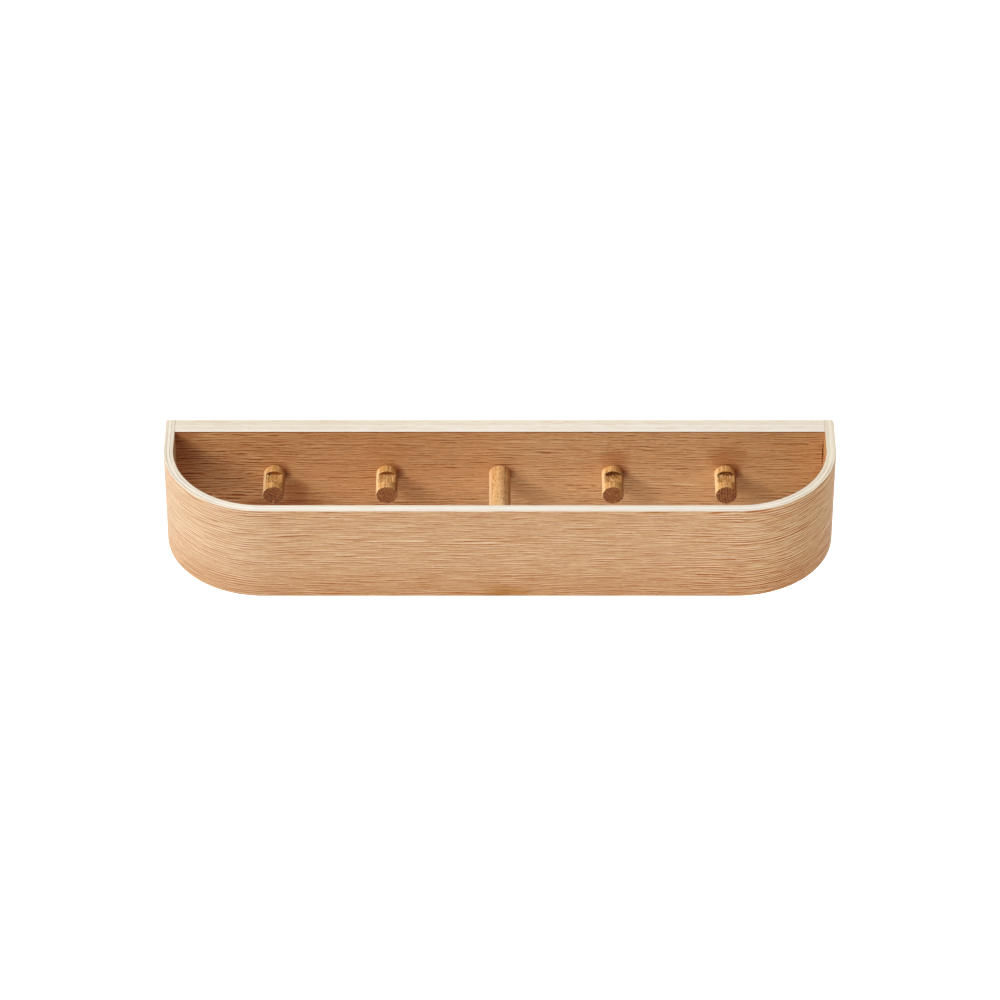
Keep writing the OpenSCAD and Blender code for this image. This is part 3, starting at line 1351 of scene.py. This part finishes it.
@dataclass(kw_only=True)
class PlyPiece(Piece):
    """Piece of plywood with veneered faces, a layered edge and holes for the joint dowels."""

    arris_mm: float = 0.6
    skin_mm: float = 0.4
    joint_radius_mm: float = 3.1
    joint_z_mm: float = 30.0
    socket_radius_mm: float = 10.1

    def __post_init__(self) -> None:
        """Name the piece's outer sizes."""
        super().__post_init__()
        width, self.depth_mm, self.height_mm = self.size_mm
        self.half_width_mm = width / 2

    def is_face(self, polygon: bpy.types.MeshPolygon) -> bool:
        """Tell a veneered face from the layered edge."""
        raise NotImplementedError

    def dress(self, piece: bpy.types.Object, materials: Sequence[bpy.types.Material]) -> None:
        """Give the faces veneer, and the rims, ends and sockets the layered edge.

        Args:
            piece: The piece.
            materials: Veneer, then edge.
        """
        super().dress(piece, materials)
        for polygon in piece.data.polygons:
            polygon.material_index = (Surface.FACE if self.is_face(polygon) else Surface.EDGE).value

    def joint_holes(self, start_x: float, start_y: float, depth: float, turn: float) -> list[bpy.types.Mesh]:
        """Make the cutters of the joint dowels' holes.

        Args:
            start_x: Where the holes start, for the right end.
            start_y: Their place in front of the wall.
            depth: How deep they are.
            turn: Turn of their axis from +Y, for the right end.

        Returns:
            The four cutters.
        """
        stations = [(-OVER_MM, self.joint_radius_mm), (depth, self.joint_radius_mm)]
        return [
            slot_cutter(stations, (side.value * start_x, start_y, level), turn_left=turn * side.value)
            for side in Side
            for level in (-self.joint_z_mm, self.joint_z_mm)
        ]


@dataclass(kw_only=True)
class BentBand(PlyPiece):
    """Plywood band bent round the front, open above and below, with its ends on the wall."""

    node: str = "front_band"
    slot: str = "band_plywood"
    name: str = "front_band_plywood"
    thickness_mm: float = 9.0
    bend_radius_mm: float = 93.0
    left_heel_mm: Pair = (1.0, 1.0)
    right_heel_mm: Pair = (1.75, 5.5)
    heel_steps: int = 10
    bend_steps: int = 56
    socket_depth_mm: float = 4.0
    joint_depth_mm: float = 5.0
    joint_y_mm: float = -9.0
    rim_facing: float = 0.6
    wall_facing: float = 0.9

    def __post_init__(self) -> None:
        """Work out the band's straight lengths and the length of a bend."""
        super().__post_init__()
        self.straight_mm = self.half_width_mm - self.bend_radius_mm
        self.side_mm = self.depth_mm - self.bend_radius_mm
        self.bend_length_mm = self.bend_radius_mm * QUARTER

    def ring(self, point: np.ndarray, inward: np.ndarray, inset: float = 0.0) -> np.ndarray:
        """Set the section across the band's path.

        Args:
            point: Point of the outer face in plan.
            inward: Direction through the band at that point.
            inset: How far the outer face is taken back there.

        Returns:
            Points of the section.
        """
        section = eased_section(inset, self.thickness_mm, self.height_mm, self.arris_mm)
        plan = point + section[:, :1] * inward
        return np.column_stack([plan, section[:, 1]])

    def half_rings(self, side: Side) -> list[np.ndarray]:
        """Set the sections of one half, from the wall round the rear corner, the side and the bend.

        Args:
            side: Which half.

        Returns:
            Its sections, from the wall to the front.
        """
        inset, reach = self.left_heel_mm if side is Side.LEFT else self.right_heel_mm
        face, inward = side.value * self.half_width_mm, np.array([-side.value, 0.0])
        rings = [
            self.ring(np.array([face, -reach * (1 - cosine)]), inward, inset * (1 - sine))
            for sine, cosine in quarter_turn(self.heel_steps)
        ]
        centre = np.array([side.value * self.straight_mm, -self.side_mm])
        for sine, cosine in quarter_turn(self.bend_steps):
            outward = np.array([side.value * cosine, -sine])
            rings.append(self.ring(centre + outward * self.bend_radius_mm, -outward))
        return rings

    def rings(self) -> list[np.ndarray]:
        """Set the sections from the right end round the front to the left end."""
        return self.half_rings(Side.RIGHT) + self.half_rings(Side.LEFT)[::-1]

    def cutters(self) -> list[bpy.types.Mesh]:
        """Make the cutters of the centre dowel's socket and of the joint dowels' holes.

        Returns:
            The closed cutters.
        """
        inner_y, radius = self.thickness_mm - self.depth_mm, self.socket_radius_mm
        stations = [(inner_y - self.socket_depth_mm, radius), (inner_y + OVER_MM, radius)]
        start_x = self.half_width_mm - self.thickness_mm
        joints = self.joint_holes(start_x, self.joint_y_mm, self.joint_depth_mm, -QUARTER)
        return [slot_cutter(stations, (0, 0, 0))] + joints

    def grain(self, points: np.ndarray) -> np.ndarray:
        """Unroll the band: along its outer face, below that face and up.

        Args:
            points: Points in millimetres.

        Returns:
            Their grain coordinates.
        """
        x, y, z = points.T
        reach, forward = np.abs(x) - self.straight_mm, -y - self.side_mm
        past, ahead = np.maximum(reach, 0.0), np.maximum(forward, 0.0)
        on_side, on_front = forward < 0, reach < 0
        bent = np.where(on_side, self.bend_length_mm - forward, np.arctan2(past, ahead) * self.bend_radius_mm)
        along = np.where(on_front, x, np.where(x < 0, -1.0, 1.0) * (self.straight_mm + bent))
        in_bend = self.bend_radius_mm - np.hypot(past, ahead)
        depth = np.where(on_side, self.half_width_mm - np.abs(x), in_bend)
        return np.column_stack([along, np.where(on_front, self.depth_mm + y, depth), z])

    def is_face(self, polygon: bpy.types.MeshPolygon) -> bool:
        """Tell the outer and inner face from the rims, the ends on the wall and the sockets.

        Args:
            polygon: Face of the finished mesh.

        Returns:
            Whether the face is veneered.
        """
        depth = self.grain(np.array([polygon.center]) / MM)[0, 1]
        on_face = depth < self.skin_mm or depth > self.thickness_mm - self.skin_mm
        at_wall = polygon.normal.y > self.wall_facing and abs(polygon.center.y) < MM
        is_rim = abs(polygon.normal.z) > self.rim_facing
        return on_face and not is_rim and not at_wall


@dataclass(kw_only=True)
class Backboard(PlyPiece):
    """Straight plywood board between the band's ends, with peg sockets and keyholes."""

    node: str = "backboard"
    slot: str = "board_plywood"
    name: str = "backboard_plywood"
    peg_columns_mm: tuple[float, ...] = (-210.0, -105.0, 0.0, 105.0, 210.0)
    socket_depth_mm: float = 8.0
    shank_radius_mm: float = 2.0
    head_radius_mm: float = 3.8
    head_sink_mm: float = 0.5
    joint_depth_mm: float = 26.0
    keyhole_x_mm: float = 157.5
    keyhole_z_mm: float = 13.0
    keyhole_rise_mm: float = 12.0
    keyhole_radius_mm: float = 5.0
    neck_radius_mm: float = 2.5
    keyhole_depth_mm: float = 10.0
    lip_mm: float = 4.0
    mouth_mm: float = 0.35
    room_facing: float = 0.8

    def peg_seats(self) -> list[bpy.types.Mesh]:
        """Make the cutters of the peg sockets with their countersunk screw holes.

        Returns:
            The closed cutters.
        """
        floor = self.socket_depth_mm - self.depth_mm
        cone_foot = -self.head_sink_mm - (self.head_radius_mm - self.shank_radius_mm)
        stations = [
            (-self.depth_mm - OVER_MM, self.socket_radius_mm),
            (floor, self.socket_radius_mm),
            (floor, self.shank_radius_mm),
            (cone_foot, self.shank_radius_mm),
            (OVER_MM, self.head_radius_mm + self.head_sink_mm + OVER_MM),
        ]
        return [slot_cutter(stations, (x, 0, 0)) for x in self.peg_columns_mm]

    def keyholes(self) -> list[bpy.types.Mesh]:
        """Make the cutters of the two keyholes, each a channel, a neck and an entry.

        Returns:
            The closed cutters.
        """
        deep, mouth, rise = -self.keyhole_depth_mm, self.mouth_mm, self.keyhole_rise_mm
        wide, slim = self.keyhole_radius_mm, self.neck_radius_mm
        tools = []
        for side in Side:
            at = (side.value * self.keyhole_x_mm, 0, self.keyhole_z_mm)
            neck = [(-self.lip_mm - OVER_MM, slim), (-mouth, slim), (OVER_MM, slim + mouth + OVER_MM)]
            tools.append(slot_cutter([(deep, wide), (-self.lip_mm, wide)], at, rise))
            tools.append(slot_cutter(neck, at, rise))
            tools.append(slot_cutter([(deep, wide), (-mouth, wide), (OVER_MM, wide + mouth + OVER_MM)], at))
        return tools

    def cutters(self) -> list[bpy.types.Mesh]:
        """Make the cutters of all the board's holes."""
        joints = self.joint_holes(self.half_width_mm, -self.depth_mm / 2, self.joint_depth_mm, QUARTER)
        return self.peg_seats() + joints + self.keyholes()

    def rings(self) -> list[np.ndarray]:
        """Set the section at both ends.

        Returns:
            The section at the left and at the right end.
        """
        section = eased_section(-self.depth_mm, 0.0, self.height_mm, self.arris_mm)
        ends = [np.full(len(section), side.value * self.half_width_mm) for side in Side]
        return [np.column_stack([end, section]) for end in ends]

    def grain(self, points: np.ndarray) -> np.ndarray:
        """Measure along the board, behind its front face and up."""
        return points + np.array([0.0, self.depth_mm, 0.0])

    def is_face(self, polygon: bpy.types.MeshPolygon) -> bool:
        """Tell the front and the rear face from the edges and the holes.

        Args:
            polygon: Face of the finished mesh.

        Returns:
            Whether the face is veneered.
        """
        y = polygon.center.y / MM
        on_face = y > -self.skin_mm or y < self.skin_mm - self.depth_mm
        return on_face and abs(polygon.normal.y) > self.room_facing


@dataclass(kw_only=True)
class Rod(Piece):
    """Turned rod along -Y, from its root in the board to its free end."""

    root_arris_mm: float = 0.4
    tip_mm: float = 0.8
    tip_steps: int = 6
    around: int = 180
    pilot_radius_mm: float = 1.75
    pilot_depth_mm: float = 21.5

    def __post_init__(self) -> None:
        """Name the rod's place and sizes."""
        super().__post_init__()
        self.centre_x_mm, self.root_y_mm = self.centre_mm[0], self.high_mm[1]
        self.radius_mm, self.length_mm = self.size_mm[0] / 2, self.size_mm[1]
        self.turn = full_turn(self.around)

    def place(self, out: float, across: np.ndarray, up: np.ndarray) -> np.ndarray:
        """Set points round the axis.

        Args:
            out: Distance from the root along the rod.
            across: How far right of the axis they lie.
            up: How far above it.

        Returns:
            The points.
        """
        return np.column_stack([self.centre_x_mm + across, np.full(self.around, self.root_y_mm - out), up])

    def ring(self, out: float, radius: float) -> np.ndarray:
        """Set one circle round the rod's axis."""
        return self.place(out, radius * np.sin(self.turn), radius * np.cos(self.turn))

    def body_rings(self) -> list[np.ndarray]:
        """Set what lies between the root and the free end."""
        return []

    def rings(self) -> list[np.ndarray]:
        """Set the chamfered root, the body and the eased free end.

        Returns:
            The rings from root to free end.
        """
        arris, radius = self.root_arris_mm, self.radius_mm
        root = [self.ring(0.0, radius - arris), self.ring(arris, radius)]
        tip = [
            self.ring(self.length_mm - self.tip_mm * (1 - sine), radius - self.tip_mm * (1 - cosine))
            for sine, cosine in quarter_turn(self.tip_steps)
        ]
        return root + self.body_rings() + tip

    def cutters(self) -> list[bpy.types.Mesh]:
        """Make the drill of the pilot hole."""
        pilot = [(-self.pilot_depth_mm, self.pilot_radius_mm), (OVER_MM, self.pilot_radius_mm)]
        return [slot_cutter(pilot, (self.centre_x_mm, self.root_y_mm, 0))]

    def grain(self, points: np.ndarray) -> np.ndarray:
        """Measure along the rod, across its axis and up from it."""
        return np.column_stack([self.root_y_mm - points[:, 1], points[:, 0] - self.centre_x_mm, points[:, 2]])


@dataclass(kw_only=True)
class CoatPeg(Rod):
    """Short peg with a saddle cut in its top, where the loop of a coat hangs."""

    wall_mm: float = 16.5
    saddle_length_mm: float = 16.0
    saddle_depth_mm: float = 4.2
    wall_arris_mm: float = 0.35
    wall_steps: int = 5
    floor_fillet_mm: float = 0.35
    crease_mm: float = 0.55
    ramp_soft_mm: float = 1.2
    ramp_step_mm: float = 0.28
    gap_mm: float = 0.02
    clear_mm: float = 2.0
    shrink_steepness: float = 4.0

    def clipped_ring(self, out: float, ceiling: float, shrink: float = 0.0) -> np.ndarray:
        """Set one circle with its top cut off at a height, with a soft crease along the cut.

        Args:
            out: Distance from the root along the peg.
            ceiling: Height of the cut above the axis.
            shrink: How far the circle is taken in above the saddle's floor.

        Returns:
            Points of the clipped circle.
        """
        floor = self.radius_mm - self.saddle_depth_mm
        above = (self.radius_mm * np.cos(self.turn) - floor) / self.saddle_depth_mm * self.shrink_steepness
        radius = self.radius_mm - shrink * np.clip(above, 0.0, 1.0)
        height = radius * np.cos(self.turn)
        share = np.clip(0.5 + 0.5 * (ceiling - height) / self.crease_mm, 0.0, 1.0)
        up = ceiling + (height - ceiling) * share - self.crease_mm * share * (1 - share)
        return self.place(out, radius * np.sin(self.turn), up)

    def body_rings(self) -> list[np.ndarray]:
        """Set the collar, the saddle's wall, floor and ramp, and the neck of the free end.

        Returns:
            The rings from collar to neck.
        """
        no_cut = self.radius_mm + self.clear_mm
        floor = self.radius_mm - self.saddle_depth_mm
        ramp_foot = self.wall_mm + self.saddle_length_mm - self.saddle_depth_mm
        rings = [self.clipped_ring(self.wall_mm - self.clear_mm, no_cut)]
        for sine, cosine in quarter_turn(self.wall_steps):
            out = self.wall_mm - self.wall_arris_mm * (1 - sine)
            rings.append(self.clipped_ring(out, no_cut, self.wall_arris_mm * (1 - cosine)))
        for sine, cosine in quarter_turn(self.wall_steps):
            out = self.wall_mm + self.gap_mm + self.floor_fillet_mm * (1 - cosine)
            rings.append(self.clipped_ring(out, floor + self.floor_fillet_mm * (1 - sine)))
        rings.append(self.clipped_ring((self.wall_mm + ramp_foot) / 2, floor))
        ramp_end = self.wall_mm + self.saddle_length_mm + self.crease_mm * 2
        soft = self.ramp_soft_mm
        out = ramp_foot - soft
        while out < ramp_end:
            past = out - ramp_foot
            lift = max(past, 0.0) if abs(past) > soft else (past + soft) ** 2 / (4 * soft)
            rings.append(self.clipped_ring(out, floor + lift))
            out += self.ramp_step_mm
        return rings


@dataclass(kw_only=True)
class PegScrew(Rod):
    """Countersunk wood screw with a cross recess and a cut thread, driven from the wall face."""

    slot: str = "screw_steel"
    sharp_degrees: float = 35.0
    around: int = 40
    head_arris_mm: float = 0.12
    rim_mm: float = 0.3
    shank_radius_mm: float = 1.75
    core_radius_mm: float = 1.15
    tip_radius_mm: float = 0.06
    point_mm: float = 4.0
    plain_mm: float = 9.0
    pitch_mm: float = 1.6
    crest_share: float = 0.42
    ring_step_mm: float = 0.16
    recess_mm: tuple[float, float, float] = (4.2, 0.9, 1.8)
    recess_over_mm: float = 0.6
    recess_lean_mm: float = 0.3

    def ring(self, out: float, radius: float | np.ndarray) -> np.ndarray:
        """Set one ring round the screw's axis, with one radius or one for each point."""
        return self.place(out, radius * np.cos(self.turn), radius * np.sin(self.turn))

    def thread_ring(self, out: float) -> np.ndarray:
        """Set one ring of the thread, whose crest winds round the core.

        Args:
            out: Distance from the head along the screw.

        Returns:
            Points of the ring.
        """
        phase = np.mod(out / self.pitch_mm - self.turn / (2 * math.pi), 1.0)
        crest = np.clip(1.0 - np.abs(2 * phase - 1.0) / self.crest_share, 0.0, 1.0)
        taper = min(1.0, (self.length_mm - out) / self.point_mm)
        lead = min(1.0, (out - self.plain_mm) / self.pitch_mm)
        core = self.core_radius_mm + (self.shank_radius_mm - self.core_radius_mm) * (1 - lead)
        radius = (core + (self.shank_radius_mm - core) * crest) * taper
        return self.ring(out, np.maximum(radius, self.tip_radius_mm))

    def rings(self) -> list[np.ndarray]:
        """Set the head, the shank, the thread and the point.

        Returns:
            The rings from head to point.
        """
        profile = (
            (0.0, self.radius_mm - self.head_arris_mm),
            (self.head_arris_mm, self.radius_mm),
            (self.rim_mm, self.radius_mm),
            (self.rim_mm + self.radius_mm - self.shank_radius_mm, self.shank_radius_mm),
            (self.plain_mm, self.shank_radius_mm),
        )
        threaded = self.length_mm - self.plain_mm
        count = round(threaded / self.ring_step_mm)
        thread = [self.thread_ring(self.plain_mm + threaded * step / count) for step in range(1, count + 1)]
        return [self.ring(out, radius) for out, radius in profile] + thread

    def cutters(self) -> list[bpy.types.Mesh]:
        """Make the two crossed blades that press the recess.

        Returns:
            The closed cutters.
        """
        span, width, deep = self.recess_mm
        tools = []
        for long_way, short_way in ((span, width), (width, span)):
            rings = []
            for out in (-self.recess_over_mm, deep):
                lean = self.recess_lean_mm * (out / deep)
                half_x = long_way / 2 - lean * (long_way > short_way)
                half_z = short_way / 2 - lean * (short_way > long_way)
                corners = ((-1, -1), (1, -1), (1, 1), (-1, 1))
                x, y = self.centre_x_mm, self.root_y_mm - out
                rings.append(np.array([(x + sx * half_x, y, sz * half_z) for sx, sz in corners]))
            tools.append(closed_shell("cutter", rings))
        return tools


@dataclass(kw_only=True)
class JointDowel(Piece):
    """Fluted beech dowel glued between the band's end and the board."""

    slot: str = "joint_beech"
    flutes: int = 14
    around: int = 112
    chamfer_mm: float = 0.8
    flute_mm: float = 0.22

    def __post_init__(self) -> None:
        """Name the dowel's radius."""
        super().__post_init__()
        self.radius_mm = self.size_mm[2] / 2

    def ring(self, x: float, radius: float, flute: float) -> np.ndarray:
        """Set one ring round the dowel's axis, with flutes pressed into it.

        Args:
            x: Place along the axis.
            radius: Radius between the flutes.
            flute: How deep they are.

        Returns:
            Points of the ring.
        """
        turn = full_turn(self.around)
        r = radius - flute * np.maximum(np.cos(turn * self.flutes), 0.0)
        y = self.centre_mm[1] + r * np.cos(turn)
        return np.column_stack([np.full(self.around, x), y, self.centre_mm[2] + r * np.sin(turn)])

    def rings(self) -> list[np.ndarray]:
        """Set the chamfered ends and the fluted length between them.

        Returns:
            The rings from left to right.
        """
        cut, full, start, end = self.chamfer_mm, self.radius_mm, self.low_mm[0], self.high_mm[0]
        return [
            self.ring(start, full - cut, 0.0),
            self.ring(start + cut, full, self.flute_mm),
            self.ring(end - cut, full, self.flute_mm),
            self.ring(end, full - cut, 0.0),
        ]

    def grain(self, points: np.ndarray) -> np.ndarray:
        """Measure along the dowel, across its axis and up from it."""
        return points - self.centre_mm


@dataclass
class Tray:
    """The bent band and the backboard glued between its ends."""

    band: BentBand = field(default_factory=BentBand)
    board: Backboard = field(default_factory=Backboard)

    def build(self, effects: Effects) -> None:
        """Build and dress both pieces."""
        self.band.build(BAND_VENEER.material(effects), BAND_EDGE.material(effects))
        self.board.build(BOARD_VENEER.material(effects), BOARD_EDGE.material(effects))


@dataclass
class PegRow:
    """Four coat pegs with the centre dowel between them."""

    peg_slot: str = "peg_oak"
    dowel_slot: str = "dowel_oak"
    dowel_root_arris_mm: float = 0.6

    def build(self, effects: Effects) -> None:
        """Build and dress the pegs and the centre dowel.

        Args:
            effects: The shared effect for each kind of finish.
        """
        for column, finish in PEG_FINISHES.items():
            name = f"peg_{column.value}"
            CoatPeg(node=name, slot=self.peg_slot, name=f"oak_{name}").build(finish.material(effects))
        arris = self.dowel_root_arris_mm
        dowel = Rod(node="centre_dowel", slot=self.dowel_slot, name="oak_centre_dowel", root_arris_mm=arris)
        dowel.build(DOWEL_FINISH.material(effects))


@dataclass
class Fastenings:
    """Screws behind the pegs and dowels in the two joints."""

    zinc: ZincFinish = field(default_factory=ZincFinish)

    def build(self, effects: Effects) -> None:
        """Build and dress the screws and the joint dowels.

        Args:
            effects: The shared effect for each kind of finish.
        """
        steel = self.zinc.material()
        for column in Column:
            PegScrew(node=f"screw_{column.value}", name=f"steel_screw_{column.value}").build(steel)
        beech = BEECH_FINISH.material(effects)
        for side in ("left", "right"):
            for level in ("upper", "lower"):
                place = f"dowel_{side}_{level}"
                JointDowel(node=f"joint_{place}", name=f"beech_{place}").build(beech)


def aim(thing: bpy.types.Object, place: Sequence[float], target: Sequence[float]) -> None:
    """Put a lamp or the camera into the scene, turned to a target.

    Args:
        thing: What is put up.
        place: Where it hangs.
        target: What it looks at.
    """
    thing.location = place
    thing.rotation_euler = (Vector(target) - Vector(place)).to_track_quat("-Z", "Y").to_euler()
    bpy.context.scene.collection.objects.link(thing)


@dataclass(frozen=True)
class Lamp:
    """Large soft lamp aimed at the rack."""

    name: str
    place: tuple[float, float, float]
    width: float
    height: float
    watts: float
    colour: Colour = (255, 255, 255)

    def hang(self, target: Sequence[float]) -> None:
        """Put the lamp up and turn it to the target.

        Args:
            target: Where it shines.
        """
        data = bpy.data.lights.new(self.name, "AREA")
        data.shape = "RECTANGLE"
        data.size = self.width
        data.size_y = self.height
        data.energy = self.watts
        data.color = linear(self.colour)[:3]
        lamp = bpy.data.objects.new(self.name, data)
        lamp.visible_camera = False
        aim(lamp, self.place, target)


@dataclass
class Studio:
    """Camera, soft lamps, white surroundings and a pale floor."""

    eye: tuple[float, float, float] = (0.0, -3.52566, 2.76250)
    target: tuple[float, float, float] = (0.0, -0.060, 0.0024966)
    focal_px: float = 4788.16
    image_px: float = 1000.0
    sensor_mm: float = 36.0
    shift_x: float = 0.000175
    clip_end: float = 60.0
    floor_drop: float = 1.5
    floor_half: float = 9.0
    floor_colour: Colour = (238, 238, 238)
    floor_glow: float = 0.45
    glow_from: float = 0.8
    glow_to: float = 3.0
    ambient: float = 0.05
    lamps: tuple[Lamp, ...] = (
        Lamp("left key lamp", (-3.06, -3.06, 2.5), 1.0, 1.0, 48.0),
        Lamp("upper left lamp", (-2.71, -2.71, 3.21), 3.0, 3.0, 74.0),
        Lamp("left fill lamp", (-3.32, -3.32, 1.71), 3.0, 3.0, 64.0),
        Lamp("left side lamp", (-4.31, -0.38, 2.50), 2.2, 2.2, 98.0),
        Lamp("low right lamp", (2.4, -1.7, -0.5), 1.8, 1.4, 40.0),
        Lamp("top lamp", (0.0, -0.2, 2.6), 1.6, 1.6, 12.0),
        Lamp("rear lamp", (0.3, 2.2, 1.9), 2.0, 1.8, 32.0),
    )

    def set_camera(self) -> None:
        """Set the camera where the photograph was taken."""
        data = bpy.data.cameras.new("photo camera")
        data.sensor_width = self.sensor_mm
        data.lens = self.focal_px / self.image_px * self.sensor_mm
        data.shift_x = self.shift_x
        data.clip_end = self.clip_end
        camera = bpy.data.objects.new("photo camera", data)
        aim(camera, self.eye, self.target)
        bpy.context.scene.camera = camera

    def seen_directly(self, tree: Tree) -> Signal:
        """Give 1 to rays from the camera, a mirror or a glass, and 0 to light.

        Args:
            tree: Tree that asks.

        Returns:
            The share.
        """
        path = tree.node("LightPath").outputs
        seen = tree.math("MAXIMUM", path["Is Camera Ray"], path["Is Glossy Ray"])
        return tree.math("MAXIMUM", seen, path["Is Transmission Ray"])

    def set_world(self) -> None:
        """Make the surroundings white to the eye and a plain soft light on the rack."""
        world = bpy.data.worlds.new("white room")
        tree = Tree.of(world)
        white, light = tree.node("Background"), tree.node("Background")
        tree.feed(light.inputs["Strength"], self.ambient)
        for shader in (white, light):
            tree.feed(shader.inputs["Color"], (1.0, 1.0, 1.0, 1.0))
        both = tree.mix_shaders(self.seen_directly(tree), light, white)
        tree.feed(tree.node("OutputWorld").inputs["Surface"], both.outputs[0])
        bpy.context.scene.world = world

    def paint_floor(self) -> bpy.types.Material:
        """Make a pale paint that keeps shadows, is white to the eye further off and is clear from below.

        Returns:
            The floor's material.
        """
        made = bpy.data.materials.new("pale floor")
        tree = Tree.of(made)
        paint = tree.node("BsdfDiffuse")
        tree.feed(paint.inputs["Color"], linear(self.floor_colour))
        across = tree.node("VectorMath", operation="LENGTH")
        tree.feed(across.inputs[0], tree.node("TexCoord").outputs["Object"])
        far = Signal(tree, across.outputs["Value"]).rise(self.glow_from, self.glow_to)
        glow = tree.node("Emission")
        strength = far * (1.0 - self.floor_glow) + self.floor_glow
        tree.feed(glow.inputs["Strength"], self.seen_directly(tree) * strength)
        lit = tree.node("AddShader")
        for socket, shader in zip(lit.inputs, (paint, glow)):
            tree.feed(socket, shader.outputs[0])
        below = tree.node("NewGeometry").outputs["Backfacing"]
        both = tree.mix_shaders(below, lit, tree.node("BsdfTransparent"))
        tree.feed(tree.node("OutputMaterial").inputs["Surface"], both.outputs[0])
        return made

    def lay_floor(self) -> None:
        """Lay the floor some way under the rack."""
        low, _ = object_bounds()
        level, half = low.z - self.floor_drop, self.floor_half
        mesh = bpy.data.meshes.new("studio_floor")
        corners = [(x * half, y * half, level) for x, y in ((-1, -1), (1, -1), (1, 1), (-1, 1))]
        mesh.from_pydata(corners, [], [(0, 1, 2, 3)])
        floor = make_object(mesh)
        mesh.materials.append(self.paint_floor())
        floor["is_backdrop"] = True

    def build(self) -> None:
        """Set up camera, world, lamps and floor."""
        self.set_camera()
        self.set_world()
        for lamp in self.lamps:
            lamp.hang(self.target)
        self.lay_floor()
        bpy.context.scene.view_settings.view_transform = "Standard"


def build_effects() -> Effects:
    """Build each effect once, under the kind of finish that it serves."""
    kinds = {VeneerFinish: VeneerFigure, PlyFinish: PlyLayers, RodFinish: TurnedFigure}
    return {finish: effect(finish) for finish, effect in kinds.items()}


def main() -> None:
    """Build the studio, the tray, the pegs and the fastenings, in that order."""
    logging.basicConfig(level=logging.INFO, format="%(name)s: %(message)s")
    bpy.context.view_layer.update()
    Studio().build()
    effects = build_effects()
    Tray().build(effects)
    PegRow().build(effects)
    Fastenings().build(effects)
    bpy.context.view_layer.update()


if __name__ == "__main__":
    main()
